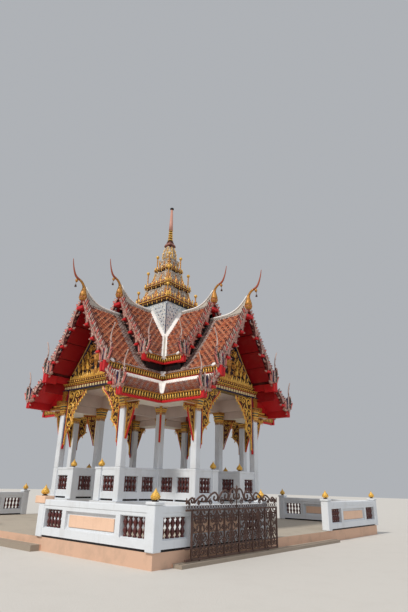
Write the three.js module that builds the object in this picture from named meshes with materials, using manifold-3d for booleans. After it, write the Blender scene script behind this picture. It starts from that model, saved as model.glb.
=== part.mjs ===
// Thai cross-plan pavilion with four gabled porches and a stepped spire,
// on a low terrace with corner walls and one iron sliding gate.
// Millimetres, +Z up, origin on the ground at the middle of the pavilion.
// South is -Y and east is +X. One porch, one roof arm and one corner are drawn
// once, for the south side and the south-east corner, and turned by quarter turns.
import * as THREE from 'three';
import Module from 'manifold-3d';
import { mergeVertices } from 'three/addons/utils/BufferGeometryUtils.js';

const wasm = await Module();
wasm.setup();

// Gap between pieces that rest on or against each other
const GAP = 0.3;

// Heights above the ground
const TERRACE_TOP = 330;
const FLOOR = 1150;
const RAIL_TOP = 2200;
const SHAFT_TOP = 4200;
const BEAM_BOTTOM = 4600;
const BEAM_TOP = 5200;
const PLATE_TOP = 5310;
const CORNICE_BOTTOM = 5110;

// Plan of the pavilion
const COLUMN_LINE = 1760;
const PORCH_LINE = 3510;
const COLUMN_HALF = 125;
const STAIR_HALF = 630;

// Roofs: half width at the eave, drop from ridge to eave, and shell depth
const EAVE_HALF = 1800;
const ROOF_DROP = 2560;
const ROOF_SAG = 0.1;
const ROOF_STEPS = 4;
const SHELL_DEPTH = 190;
const EAVE_BOARD = 280;
const EAVE_INNER = 1640;
const MAIN_RIDGE = 8150;
const MAIN_END = 4480;
const UPPER_LIFT = 690;
const UPPER_END = 2740;
const BOARD_DEPTH = 140;

// Skirt roof that wraps each re-entrant corner
const SKIRT_INNER = 1870;
const SKIRT_INNER_TOP = 5250;
const SKIRT_EAVE = 2710;
const SKIRT_EAVE_TOP = 4620;
const SKIRT_EAVE_BOTTOM = 4330;
const SKIRT_END = 4540;

// Neck and spire
const NECK_HALF = 900;
const NECK_WALL = 150;
const NECK_TOP = 9080;

// Terrace, enclosing wall and gate
const TERRACE_HALF = 6360;
const KERB_DEPTH = 300;
const WALL_FACE = 6400;
const WALL_DEPTH = 220;
const WALL_TOP = 1250;
const GATEWAY_HALF = 1920;
const POST = 260;
const POST_TOP = 1290;
const GATE_PLANE = 6550;
const GATE_LENGTH = 3900;
const GATE_MIDDLE = -3600;
const GATE_BAR = 40;
const GATE_BOTTOM = 110;
const GATE_TOP = 1175;
const GATE_RISE = 480;
const TRACK_TOP = 95;

const ARMS = ['south', 'east', 'north', 'west'];
const CORNERS = ['south_east', 'north_east', 'north_west', 'south_west'];

const paint = (color, roughness, metalness = 0) =>
  new THREE.MeshStandardMaterial({ color, roughness, metalness });
const WHITE = paint(0xe9e7e2, 0.8);
const PEACH = paint(0xe3bfa6, 0.85);
const CREAM = paint(0xcbbca8, 0.8);
const GOLD = paint(0xb08a34, 0.45, 0.7);
const TILE = paint(0x9a4f35, 0.6);
const MOSAIC = paint(0xa98f86, 0.5);
const SILVER = paint(0xc9cfd3, 0.35, 0.2);
const IRON = paint(0x4a2e2a, 0.6, 0.6);

// Turns a three.js geometry into a solid with shared corners and no empty faces
function solid(geometry) {
  const bare = geometry.clone();
  bare.deleteAttribute('normal');
  bare.deleteAttribute('uv');
  const merged = mergeVertices(bare, 0.01);
  const index = merged.index.array;
  const faces = [];
  for (let i = 0; i < index.length; i += 3) {
    const [a, b, c] = [index[i], index[i + 1], index[i + 2]];
    if (a !== b && b !== c && c !== a) faces.push(a, b, c);
  }
  return new wasm.Manifold(new wasm.Mesh({
    numProp: 3,
    vertProperties: new Float32Array(merged.attributes.position.array),
    triVerts: new Uint32Array(faces),
  }));
}

const join = (...solids) => solids.flat().reduce((whole, piece) => whole.add(piece));
const cut = (whole, ...tools) => tools.flat().reduce((rest, tool) => rest.subtract(tool), whole);

// A block from its lowest to its highest corner
function block(x0, x1, y0, y1, z0, z1) {
  const geometry = new THREE.BoxGeometry(x1 - x0, y1 - y0, z1 - z0);
  return solid(geometry.translate((x0 + x1) / 2, (y0 + y1) / 2, (z0 + z1) / 2));
}

// An outline of [x, y] points raised from z0 to z1
function prism(points, z0, z1) {
  const shape = new THREE.Shape(points.map(([x, y]) => new THREE.Vector2(x, y)));
  const geometry = new THREE.ExtrudeGeometry(shape, { depth: z1 - z0, bevelEnabled: false });
  return solid(geometry.translate(0, 0, z0));
}

// An outline of [x, z] points, as seen from the front, run from y0 to y1
function frontal(points, y0, y1) {
  const shape = new THREE.Shape(points.map(([x, z]) => new THREE.Vector2(x, z)));
  const geometry = new THREE.ExtrudeGeometry(shape, { depth: y1 - y0, bevelEnabled: false });
  return solid(geometry.rotateX(Math.PI / 2).translate(0, y1, 0));
}

// An outline of [y, z] points, as seen from the side, run from x0 to x1
function sideways(points, x0, x1) {
  const shape = new THREE.Shape(points.map(([y, z]) => new THREE.Vector2(y, z)));
  const geometry = new THREE.ExtrudeGeometry(shape, { depth: x1 - x0, bevelEnabled: false });
  geometry.applyMatrix4(new THREE.Matrix4().makeBasis(
    new THREE.Vector3(0, 1, 0),
    new THREE.Vector3(0, 0, 1),
    new THREE.Vector3(1, 0, 0),
  ));
  return solid(geometry.translate(x0, 0, 0));
}

// A turned body: [radius, height] points from the bottom of the axis to its top
function turned(profile, x, y, sides) {
  const points = profile.map(([radius, height]) => new THREE.Vector2(radius, height));
  const geometry = new THREE.LatheGeometry(points, sides, Math.PI / sides);
  return solid(geometry.rotateX(Math.PI / 2).translate(x, y, 0));
}

// A square moulded body: [half width, height] points, closed on its axis
function moulded(profile, x = 0, y = 0) {
  const first = profile[0][1];
  const last = profile[profile.length - 1][1];
  const corners = profile.map(([half, height]) => [half * Math.SQRT2, height]);
  return turned([[0, first], ...corners, [0, last]], x, y, 4);
}

// A flat horn: the outline of a curve with a width at each of its points
function horn(spine, widths) {
  const left = [];
  const right = [];
  spine.forEach(([a, b], i) => {
    const before = spine[Math.max(i - 1, 0)];
    const after = spine[Math.min(i + 1, spine.length - 1)];
    const run = Math.hypot(after[0] - before[0], after[1] - before[1]);
    const normal = [-(after[1] - before[1]) / run, (after[0] - before[0]) / run];
    const half = widths[i] / 2;
    left.push([a + normal[0] * half, b + normal[1] * half]);
    right.unshift([a - normal[0] * half, b - normal[1] * half]);
  });
  return [...right, ...left];
}

// The other leg of a corner piece: the same block seen across the corner
const across = ([x0, x1, y0, y1, z0, z1]) => [-y1, -y0, -x1, -x0, z0, z1];
const legs = (boxes) => boxes.flatMap((box) => [block(...box), block(...across(box))]);

// Square balusters spread evenly over an opening; place() gives the box between two ends
const BALUSTER_HALF = 32;
const balusters = (start, end, count, place) => Array.from({ length: count }, (_, i) => {
  const middle = start + (end - start) * ((i + 0.5) / count);
  return place(middle - BALUSTER_HALF, middle + BALUSTER_HALF);
});

// Gold lotus bud on a post
function bud(x, y, foot) {
  const profile = [[0, 0], [62, 0], [92, 90], [40, 190], [0, 250]];
  return turned(profile.map(([r, h]) => [r, foot + h]), x, y, 8);
}

function addPiece(parent, name, body, material) {
  const { vertProperties, triVerts } = body.getMesh();
  const geometry = new THREE.BufferGeometry();
  geometry.setAttribute('position', new THREE.BufferAttribute(new Float32Array(vertProperties), 3));
  geometry.setIndex(new THREE.BufferAttribute(new Uint32Array(triVerts), 1));
  geometry.computeVertexNormals();
  const mesh = new THREE.Mesh(geometry, material);
  mesh.name = name;
  parent.add(mesh);
}

// Terrace platform, with a kerb step at three gateways and the gate's track at the fourth
function terrace() {
  const edge = TERRACE_HALF;
  const reach = edge + KERB_DEPTH;
  const stepHalf = GATEWAY_HALF + 260;
  const stepTop = 150;
  const kerbTop = 80;
  const trackStart = GATE_MIDDLE - GATE_LENGTH / 2 - 200;
  return join(
    block(-edge, edge, -edge, edge, 0, TERRACE_TOP),
    block(-stepHalf, stepHalf, -reach, -edge, 0, stepTop),
    block(-stepHalf, stepHalf, edge, reach, 0, stepTop),
    block(-reach, -edge, -stepHalf, stepHalf, 0, stepTop),
    block(edge, reach, trackStart, stepHalf, 0, kerbTop),
    block(GATE_PLANE - 10, GATE_PLANE + 10, trackStart, stepHalf, kerbTop, TRACK_TOP),
  );
}

// Enclosing wall around one corner: two legs with baluster openings and sunk panels
function cornerWall() {
  const inner = WALL_FACE - WALL_DEPTH;
  const foot = TERRACE_TOP + GAP;
  const proud = 30;
  const openings = [[2250, 3000], [5290, 6120]];
  const openingBottom = 560;
  const openingTop = 1030;
  const copingBottom = 1100;
  const panel = [3290, 5040, 640, 930];
  const panelDepth = 40;
  const postMiddle = WALL_FACE - POST / 2 + 20;
  const postSpots = [[GATEWAY_HALF + POST / 2, -postMiddle], [postMiddle, -postMiddle]];
  const body = legs([
    [GATEWAY_HALF + 50, WALL_FACE, -WALL_FACE, -inner, foot, copingBottom],
    [GATEWAY_HALF + 50, WALL_FACE + proud, -WALL_FACE - proud, -inner + proud, copingBottom, WALL_TOP],
  ]);
  const holes = legs([
    ...openings.map(([a, b]) => [a, b, -WALL_FACE - 100, -inner + 100, openingBottom, openingTop]),
    [panel[0], panel[1], -WALL_FACE - 100, -WALL_FACE + panelDepth, panel[2], panel[3]],
    [panel[0], panel[1], -inner - panelDepth, -inner + 100, panel[2], panel[3]],
  ]);
  const axis = (WALL_FACE + inner) / 2;
  const bars = legs(openings.flatMap(([a, b]) => balusters(a, b, 5, (start, end) => (
    [start, end, -axis - BALUSTER_HALF, -axis + BALUSTER_HALF, openingBottom - 5, openingTop + 5]))));
  const half = POST / 2;
  const posts = [...postSpots, [postMiddle, -GATEWAY_HALF - POST / 2]].flatMap(([x, y]) => [
    moulded([[half, foot], [half, POST_TOP], [half + 25, POST_TOP], [half + 25, POST_TOP + 50]], x, y),
    bud(x, y, POST_TOP + 49),
  ]);
  return join(cut(join(body), holes), bars, posts);
}

// Sliding gate: framed bars with an arched crest, on two rollers over its track
function gate() {
  const half = GATE_BAR / 2;
  const front = GATE_PLANE + half;
  const back = GATE_PLANE - half;
  const start = GATE_MIDDLE - GATE_LENGTH / 2;
  const end = GATE_MIDDLE + GATE_LENGTH / 2;
  const bays = 6;
  const rollerRadius = 45;
  const bar = (y0, y1, z0, z1) => block(back, front, y0, y1, z0, z1);
  const stiles = [];
  for (let i = 0; i <= bays; i += 1) {
    const y = start + (GATE_LENGTH - GATE_BAR) * (i / bays);
    stiles.push(bar(y, y + GATE_BAR, GATE_BOTTOM, GATE_TOP));
  }
  // Rise of the crest over the top rail, from the gate's end to its middle
  const rise = [[0, 0], [0.02, 150], [0.1, 210], [0.19, 270], [0.26, 205], [0.32, 320], [0.41, 430], [0.5, GATE_RISE]];
  const crest = [...rise, ...rise.slice(0, -1).reverse().map(([t, height]) => [1 - t, height])];
  const outer = crest.map(([t, height]) => [start + GATE_LENGTH * t, GATE_TOP + height]).reverse();
  const innerEdge = crest.map(([t, height]) => [start + GATE_LENGTH * t, GATE_TOP - 30 + height * 0.93]);
  const props = [2, 4, 7, 10, 12].map((i) => {
    const [t, height] = crest[i];
    const y = start + GATE_LENGTH * t;
    return bar(y - 15, y + 15, GATE_TOP - 10, GATE_TOP - 10 + height);
  });
  const rollers = [start + 500, end - 500].map((y) => {
    const wheel = new THREE.CylinderGeometry(rollerRadius, rollerRadius, 24, 12);
    wheel.rotateZ(Math.PI / 2);
    return solid(wheel.translate(GATE_PLANE, y, TRACK_TOP + GAP + rollerRadius));
  });
  return join(
    bar(start, end, GATE_BOTTOM, GATE_BOTTOM + 50),
    bar(start, end, GATE_TOP - 45, GATE_TOP),
    bar(start, end, 620, 650),
    stiles,
    props,
    sideways([...innerEdge, ...outer], back + 5, front - 5),
    rollers,
  );
}

// Cross-plan podium with mouldings, cut by the four stair recesses
function podium() {
  const courses = [
    [TERRACE_TOP + GAP, 470, 2010, 3790],
    [470, 1030, 1930, 3700],
    [1030, FLOOR, 1990, 3760],
  ];
  const body = courses.flatMap(([z0, z1, half, end]) => [
    block(-half, half, -end, end, z0, z1),
    block(-end, end, -half, half, z0, z1),
  ]);
  const inner = 2660;
  const outer = 4000;
  const half = STAIR_HALF;
  const recesses = [
    block(-half, half, -outer, -inner, 0, FLOOR + 100),
    block(-half, half, inner, outer, 0, FLOOR + 100),
    block(inner, outer, -half, half, 0, FLOOR + 100),
    block(-outer, -inner, -half, half, 0, FLOOR + 100),
  ];
  return cut(join(body), recesses);
}

// Flight of four treads in a stair recess
function stairs() {
  const risers = 5;
  const tread = 270;
  const back = -2660 - GAP;
  const rise = (FLOOR - TERRACE_TOP) / risers;
  const front = back - tread * (risers - 1);
  const outline = [[back, TERRACE_TOP + GAP], [front, TERRACE_TOP + GAP]];
  for (let i = 0; i < risers - 1; i += 1) {
    outline.push([front + tread * i, TERRACE_TOP + rise * (i + 1)]);
    outline.push([front + tread * (i + 1), TERRACE_TOP + rise * (i + 1)]);
  }
  outline.reverse();
  return sideways(outline, -STAIR_HALF + GAP, STAIR_HALF - GAP);
}

// Parapet that runs round one re-entrant corner, with column pedestals and entrance posts
function balustrade() {
  const foot = FLOOR + GAP;
  const half = 75;
  const returnLine = 720;
  const returnEnd = -2660;
  const openingBottom = 1430;
  const openingTop = 1940;
  const walls = legs([
    [returnLine - half, returnLine + half, -PORCH_LINE, returnEnd, foot, RAIL_TOP],
    [returnLine, COLUMN_LINE, -PORCH_LINE - half, -PORCH_LINE + half, foot, RAIL_TOP],
    [COLUMN_LINE - half, COLUMN_LINE + half, -PORCH_LINE, -COLUMN_LINE, foot, RAIL_TOP],
    [640, 940, -PORCH_LINE - 130, -PORCH_LINE + 130, foot, RAIL_TOP],
  ]);
  const pedestals = [[COLUMN_LINE, -PORCH_LINE], [COLUMN_LINE, -COLUMN_LINE], [PORCH_LINE, -COLUMN_LINE]]
    .map(([x, y]) => moulded([[COLUMN_HALF, foot], [COLUMN_HALF, RAIL_TOP]], x, y));
  const through = (a0, a1, line, z0, z1) => [a0, a1, -line - 200, -line + 200, z0, z1];
  const sideCut = (line, b0, b1, z0, z1) => [line - 200, line + 200, b0, b1, z0, z1];
  const front = [980, 1610];
  const side = [-3340, -2760];
  const farSide = [-2560, -1980];
  const holes = legs([
    through(...front, PORCH_LINE, openingBottom, openingTop),
    sideCut(returnLine, ...side, openingBottom, openingTop),
    sideCut(COLUMN_LINE, ...side, openingBottom, openingTop),
    sideCut(COLUMN_LINE, ...farSide, openingBottom, openingTop),
  ]);
  const height = [openingBottom - 5, openingTop + 5];
  const along = (line) => (start, end) => [line - BALUSTER_HALF, line + BALUSTER_HALF, start, end, ...height];
  const bars = legs([
    ...balusters(...front, 4, (start, end) => (
      [start, end, -PORCH_LINE - BALUSTER_HALF, -PORCH_LINE + BALUSTER_HALF, ...height])),
    ...balusters(...side, 4, along(returnLine)),
    ...balusters(...side, 4, along(COLUMN_LINE)),
    ...balusters(...farSide, 4, along(COLUMN_LINE)),
  ]);
  return join(cut(join(walls, pedestals), holes), bars);
}

// Square tapering shaft with a lotus capital
function column(x, y) {
  return moulded([
    [COLUMN_HALF, RAIL_TOP + GAP],
    [COLUMN_HALF - 9, SHAFT_TOP],
    [COLUMN_HALF + 10, SHAFT_TOP + 40],
    [COLUMN_HALF + 35, SHAFT_TOP + 190],
    [COLUMN_HALF + 20, SHAFT_TOP + 270],
    [COLUMN_HALF + 50, SHAFT_TOP + 280],
    [COLUMN_HALF + 30, BEAM_BOTTOM],
  ], x, y);
}

// Cross-shaped ring beam with a coffered ceiling and the plate that carries the eaves
function ceilingBeams() {
  const outer = SKIRT_INNER;
  const end = 3430;
  const inner = outer - 220;
  const bottom = BEAM_BOTTOM + GAP;
  const coffer = 5080;
  const crossed = (half, reach, z0, z1) => join(
    block(-half, half, -reach, reach, z0, z1),
    block(-reach, reach, -half, half, z0, z1),
  );
  const porchCoffers = [
    block(-inner, inner, -end - 10, -outer, 0, coffer),
    block(-inner, inner, outer, end + 10, 0, coffer),
    block(outer, end + 10, -inner, inner, 0, coffer),
    block(-end - 10, -outer, -inner, inner, 0, coffer),
  ];
  const hall = block(-inner, inner, -inner, inner, 0, coffer);
  const plate = cut(crossed(1780, end, BEAM_TOP - 5, PLATE_TOP - GAP), crossed(1560, end + 10, 0, 9000));
  return join(cut(crossed(outer, end, bottom, BEAM_TOP), hall, porchCoffers), plate);
}

// Height of the roof surface at a distance from the ridge line
function roofHeight(distance, ridge) {
  const t = distance / EAVE_HALF;
  return ridge - ROOF_DROP * (t + ROOF_SAG * 2 * t * (1 - t));
}

// Points of the roof line from the right eave over the ridge to the left eave
function roofLine(half, ridge, offset) {
  const points = [];
  for (let i = -ROOF_STEPS; i <= ROOF_STEPS; i += 1) {
    const x = -half * (i / ROOF_STEPS);
    points.push([x, roofHeight(Math.abs(x), ridge) + offset]);
  }
  return points;
}

// One arm of a gabled roof, mitred to its neighbours and cut round the neck
function roofArm(ridge, end) {
  const eaveBottom = roofHeight(EAVE_HALF, ridge) - EAVE_BOARD;
  const outline = [
    ...roofLine(EAVE_HALF, ridge, 0),
    [-EAVE_HALF, eaveBottom],
    [-EAVE_INNER, eaveBottom],
    ...roofLine(EAVE_INNER, ridge, -SHELL_DEPTH).reverse(),
    [EAVE_INNER, eaveBottom],
    [EAVE_HALF, eaveBottom],
  ];
  const reach = 6000;
  const mitre = 0.5;
  const wedge = prism([[0, -mitre], [-reach, -reach - mitre], [reach, -reach - mitre]], 4000, 12000);
  const shaft = NECK_HALF + GAP;
  return cut(
    frontal(outline, -end, 0).intersect(wedge),
    block(-shaft, shaft, -shaft, shaft, 4000, 12000),
  );
}

// Two boards along a gable with eave blocks, side finials and the ridge horn
function bargeboards(ridge, end, blockDepth) {
  const back = -end - GAP;
  const front = back - BOARD_DEPTH;
  const half = EAVE_HALF + 40;
  const outline = [...roofLine(half, ridge, 110), ...roofLine(half - 60, ridge, -230).reverse()];
  const eave = roofHeight(EAVE_HALF, ridge);
  const boards = frontal(outline, front, back);
  const feet = [-1, 1].flatMap((side) => {
    const span = (a, b) => (side > 0 ? [a, b] : [-b, -a]);
    const [x0, x1] = span(1610, 1860);
    const spine = [[1790, eave + 20], [1950, eave + 400], [1940, eave + 800], [2060, eave + 1330]];
    const widths = [320, 190, 100, 16];
    const flame = horn(spine, widths).map(([x, z]) => [side * x, z]);
    if (side < 0) flame.reverse();
    return [
      block(x0, x1, -end - blockDepth, back, eave - 390, eave + 20),
      frontal(flame, front + 40, back - 30),
    ];
  });
  return join(boards, feet, ridgeHorn(ridge, end));
}

// Slim S-shaped horn with a bulb at its foot, over the point of a gable
function ridgeHorn(ridge, end) {
  const foot = end + 70;
  const path = [[0, -90], [0, 60], [20, 230], [45, 560], [120, 740], [330, 860], [480, 1010], [570, 1220],
    [640, 1600]];
  const spine = path.map(([out, up]) => [-foot - out, ridge + up]);
  const widths = [120, 130, 220, 85, 85, 80, 75, 60, 16];
  return sideways(horn(spine, widths), -35, 35);
}

// Entablature, pediment, capital blocks and hanging arch brackets of one porch
function gableFront() {
  const back = -3430 - GAP;
  const screen = [-3560, back - 20];
  const pedimentFront = -3600;
  const shaftFace = COLUMN_LINE - COLUMN_HALF - 5;
  const capitalFace = COLUMN_LINE - COLUMN_HALF - 65;
  const sill = 5420;
  const edge = [[1700, CORNICE_BOTTOM + 5], [1700, BEAM_BOTTOM + 40], [capitalFace, BEAM_BOTTOM + 40],
    [capitalFace, SHAFT_TOP - 30], [shaftFace, SHAFT_TOP - 30], [shaftFace, 3300]];
  const arch = [[1600, 2980], [1480, 3160], [1400, 3500], [1230, 3850], [1080, 4250], [830, 4620], [480, 4860]];
  const half = [...edge, ...arch];
  const mirrored = half.map(([x, z]) => [-x, z]).reverse();
  const outline = [...mirrored, ...half].reverse();
  const blocks = [-1, 1].map((side) => {
    const middle = side * COLUMN_LINE;
    return block(middle - 110, middle + 110, -3640, back, BEAM_BOTTOM + GAP, CORNICE_BOTTOM + 5);
  });
  const top = PLATE_TOP - GAP;
  const cornice = [
    block(-1840, 1840, -3660, back, CORNICE_BOTTOM, 5200),
    block(-1850, 1850, -3700, back, 5195, top),
    block(-1560, 1560, -3740, back, top - 5, sill + 10),
  ];
  const tall = [...roofLine(EAVE_INNER, MAIN_RIDGE, -SHELL_DEPTH - 1), [-EAVE_INNER, sill], [EAVE_INNER, sill]];
  const pediment = frontal(tall, pedimentFront, back)
    .intersect(block(-1600, 1600, -4000, 0, sill, MAIN_RIDGE));
  return join(frontal(outline, ...screen), blocks, cornice, pediment);
}

// L-shaped skirt roof round one re-entrant corner, with boards and finials at both ends
function skirtRoof() {
  const inner = SKIRT_INNER + GAP;
  const slope = (x) => {
    const t = (x - SKIRT_INNER) / (SKIRT_EAVE - SKIRT_INNER);
    return SKIRT_INNER_TOP - (SKIRT_INNER_TOP - SKIRT_EAVE_TOP) * (t + 0.16 * t * (1 - t));
  };
  const steps = 3;
  const surface = [];
  for (let i = 0; i <= steps; i += 1) {
    const x = inner + (SKIRT_EAVE - inner) * (i / steps);
    surface.unshift([x, slope(x)]);
  }
  const outline = [
    ...surface,
    [inner, slope(inner) - 200],
    [SKIRT_EAVE - 150, SKIRT_EAVE_TOP - 120],
    [SKIRT_EAVE - 150, SKIRT_EAVE_BOTTOM],
    [SKIRT_EAVE, SKIRT_EAVE_BOTTOM],
  ];
  const far = 6000;
  const southLeg = frontal(outline, -SKIRT_END, 0)
    .intersect(prism([[0, 0], [0, -far], [far, -far]], 3000, 7000));
  const board = [
    ...surface.map(([x, z]) => [x, z + 90]),
    [inner, slope(inner) - 150],
    [SKIRT_EAVE - 60, SKIRT_EAVE_TOP - 130],
  ];
  const boardFront = -SKIRT_END - BOARD_DEPTH;
  const spine = [[SKIRT_EAVE - 60, SKIRT_EAVE_TOP], [SKIRT_EAVE + 70, SKIRT_EAVE_TOP + 350],
    [SKIRT_EAVE + 70, SKIRT_EAVE_TOP + 730], [SKIRT_EAVE + 190, SKIRT_EAVE_TOP + 1180]];
  const widths = [280, 170, 90, 14];
  const southEnd = [
    frontal(board, boardFront, -SKIRT_END + 5),
    block(2380, SKIRT_EAVE + 80, boardFront - 20, -SKIRT_END + 5, SKIRT_EAVE_BOTTOM - 20, SKIRT_EAVE_TOP),
    frontal(horn(spine, widths), boardFront + 40, -SKIRT_END - 30),
  ];
  const south = join(southLeg, southEnd);
  return join(south, acrossCorner(south));
}

// The same solid seen across the corner's diagonal, where x and -y change places
function acrossCorner(body) {
  const { vertProperties, triVerts } = body.getMesh();
  const points = new Float32Array(vertProperties.length);
  for (let i = 0; i < points.length; i += 3) {
    points[i] = -vertProperties[i + 1];
    points[i + 1] = -vertProperties[i];
    points[i + 2] = vertProperties[i + 2];
  }
  const faces = new Uint32Array(triVerts.length);
  for (let i = 0; i < faces.length; i += 3) {
    faces[i] = triVerts[i];
    faces[i + 1] = triVerts[i + 2];
    faces[i + 2] = triVerts[i + 1];
  }
  return new wasm.Manifold(new wasm.Mesh({ numProp: 3, vertProperties: points, triVerts: faces }));
}

// Square neck under the spire, open inside
function neck() {
  const inner = NECK_HALF - NECK_WALL;
  return cut(
    block(-NECK_HALF, NECK_HALF, -NECK_HALF, NECK_HALF, BEAM_TOP + GAP, NECK_TOP),
    block(-inner, inner, -inner, inner, 0, 12000),
  );
}

// One stage of the crown: a cornice that steps out and a body that slopes in, with corner posts
function crownStage(foot, lower, cornice, corniceTop, upper, top, postReach, postTop) {
  const shelf = corniceTop + 40;
  const body = moulded([
    [lower, foot + GAP],
    [cornice - 70, corniceTop - 110],
    [cornice, corniceTop - 90],
    [cornice, corniceTop],
    [cornice - 120, shelf],
    [upper, top],
  ]);
  const posts = [[1, 1], [1, -1], [-1, 1], [-1, -1]].map(([sx, sy]) => moulded([
    [32, corniceTop - 60], [24, postTop - 120], [48, postTop - 60], [12, postTop],
  ], sx * postReach, sy * postReach));
  return join(body, posts);
}

// Bell on the last stage with a dark square collar
function bell() {
  const foot = 11700;
  const round = turned([
    [0, foot + GAP], [330, foot + GAP], [345, foot + 120], [320, foot + 300], [215, foot + 600], [185, foot + 720],
    [0, foot + 720],
  ], 0, 0, 12);
  const collar = moulded([
    [170, foot + 700], [245, foot + 800], [245, foot + 920], [190, foot + 930], [190, foot + 1030],
  ]);
  return join(round, collar);
}

// Spire: stacked rings, a tapering shaft and a small cap
function spire() {
  const foot = 12730;
  const profile = [[0, foot + GAP], [150, foot + GAP]];
  const rings = 4;
  const pitch = 150;
  for (let i = 0; i < rings; i += 1) {
    const z = foot + 40 + pitch * i;
    const radius = 132 - 11 * i;
    profile.push([radius, z + 10], [radius, z + pitch * 0.62], [radius - 34, z + pitch * 0.8]);
  }
  profile.push([82, 13400], [38, 14640], [92, 14660], [92, 14740], [0, 14750]);
  return turned(profile, 0, 0, 8);
}

const pavilion = new THREE.Group();
addPiece(pavilion, 'terrace', terrace(), PEACH);
addPiece(pavilion, 'podium', podium(), WHITE);
addPiece(pavilion, 'ceiling_beams', ceilingBeams(), CREAM);
addPiece(pavilion, 'neck', neck(), SILVER);
addPiece(pavilion, 'crown_lower_stage', crownStage(NECK_TOP, NECK_HALF, 1040, 9380, 690, 10060, 940, 10040), SILVER);
addPiece(pavilion, 'crown_middle_stage', crownStage(10060, 690, 790, 10230, 440, 11000, 670, 11060), SILVER);
addPiece(pavilion, 'crown_upper_stage', crownStage(11000, 440, 500, 11150, 340, 11700, 390, 11950), SILVER);
addPiece(pavilion, 'bell', bell(), SILVER);
addPiece(pavilion, 'spire', spire(), GOLD);
addPiece(pavilion, 'sliding_gate', gate(), IRON);

// Each arm is drawn facing south and turned to its side
ARMS.forEach((arm, turn) => {
  const side = new THREE.Group();
  side.rotation.z = turn * Math.PI / 2;
  addPiece(side, `${arm}_stairs`, stairs(), PEACH);
  addPiece(side, `${arm}_gable_front`, gableFront(), GOLD);
  addPiece(side, `${arm}_main_roof`, roofArm(MAIN_RIDGE, MAIN_END), TILE);
  addPiece(side, `${arm}_upper_roof`, roofArm(MAIN_RIDGE + UPPER_LIFT, UPPER_END), TILE);
  addPiece(side, `${arm}_main_bargeboards`, bargeboards(MAIN_RIDGE, MAIN_END, 200), MOSAIC);
  addPiece(side, `${arm}_upper_bargeboards`, bargeboards(MAIN_RIDGE + UPPER_LIFT, UPPER_END, 200), MOSAIC);
  pavilion.add(side);
});

// Each corner is drawn at the south-east and turned to its place
CORNERS.forEach((corner, turn) => {
  const angle = new THREE.Group();
  angle.rotation.z = turn * Math.PI / 2;
  const near = ARMS[turn];
  const next = ARMS[(turn + 1) % ARMS.length];
  addPiece(angle, `${corner}_wall`, cornerWall(), WHITE);
  addPiece(angle, `${corner}_balustrade`, balustrade(), WHITE);
  addPiece(angle, `${corner}_skirt_roof`, skirtRoof(), TILE);
  addPiece(angle, `${near}_porch_column_${next}`, column(COLUMN_LINE, -PORCH_LINE), WHITE);
  addPiece(angle, `${corner}_corner_column`, column(COLUMN_LINE, -COLUMN_LINE), WHITE);
  addPiece(angle, `${next}_porch_column_${near}`, column(PORCH_LINE, -COLUMN_LINE), WHITE);
  pavilion.add(angle);
});

export default pavilion;
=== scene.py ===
"""Thai cross-plan temple pavilion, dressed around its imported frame.

Metres, +Z up; south is -Y and east is +X. A porch, a roof arm and a corner are drawn once, for the south
side and the south-east corner, and set on the other three by quarter turns. Reliefs are drawn flat, with X
to the right, Y up and Z towards the eye, and then stood on their wall.
"""

from __future__ import annotations

import enum
import functools
import logging
import math
import random
from collections.abc import Iterable, Sequence
from dataclasses import dataclass
from itertools import accumulate, pairwise, product

import bpy
import numpy as np
from bpy.types import ID, Material, Node, NodeSocket, NodeTree, Object
from mathutils import Matrix, Vector

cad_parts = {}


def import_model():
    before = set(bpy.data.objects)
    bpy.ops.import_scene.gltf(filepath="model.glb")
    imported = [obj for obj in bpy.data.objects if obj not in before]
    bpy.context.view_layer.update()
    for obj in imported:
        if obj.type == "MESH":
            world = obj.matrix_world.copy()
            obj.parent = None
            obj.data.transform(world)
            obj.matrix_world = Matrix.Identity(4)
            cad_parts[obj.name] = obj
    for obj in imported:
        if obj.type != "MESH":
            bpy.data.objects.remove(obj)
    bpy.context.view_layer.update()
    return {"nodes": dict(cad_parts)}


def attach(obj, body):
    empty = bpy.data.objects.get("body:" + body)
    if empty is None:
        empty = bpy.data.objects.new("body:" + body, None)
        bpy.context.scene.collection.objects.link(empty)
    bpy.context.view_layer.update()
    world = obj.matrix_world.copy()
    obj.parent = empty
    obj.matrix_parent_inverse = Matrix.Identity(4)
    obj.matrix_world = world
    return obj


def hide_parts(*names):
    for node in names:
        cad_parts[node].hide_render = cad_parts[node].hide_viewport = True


LOG = logging.getLogger("pavilion")
Point2 = tuple[float, float]
Point3 = tuple[float, float, float]
Ring = list[Point3]
Ribbon = tuple[Point2, ...]

ARMS = ("south", "east", "north", "west")
CORNERS = ("south_east", "north_east", "north_west", "south_west")
TEMPLE = "temple"
GATE = "gate"

# Heights and distances in metres that several pieces share
FLOOR = 1.15
RAIL_TOP = 2.2
COLUMN_LINE = 1.76
PORCH_LINE = 3.51
COLUMN_HALF = 0.125
POST_LINE = 6.29
GATEWAY_POST = 2.05
MAIN_RIDGE = 8.15
UPPER_RIDGE = 8.84
EAVE_REACH = 1.8


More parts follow.
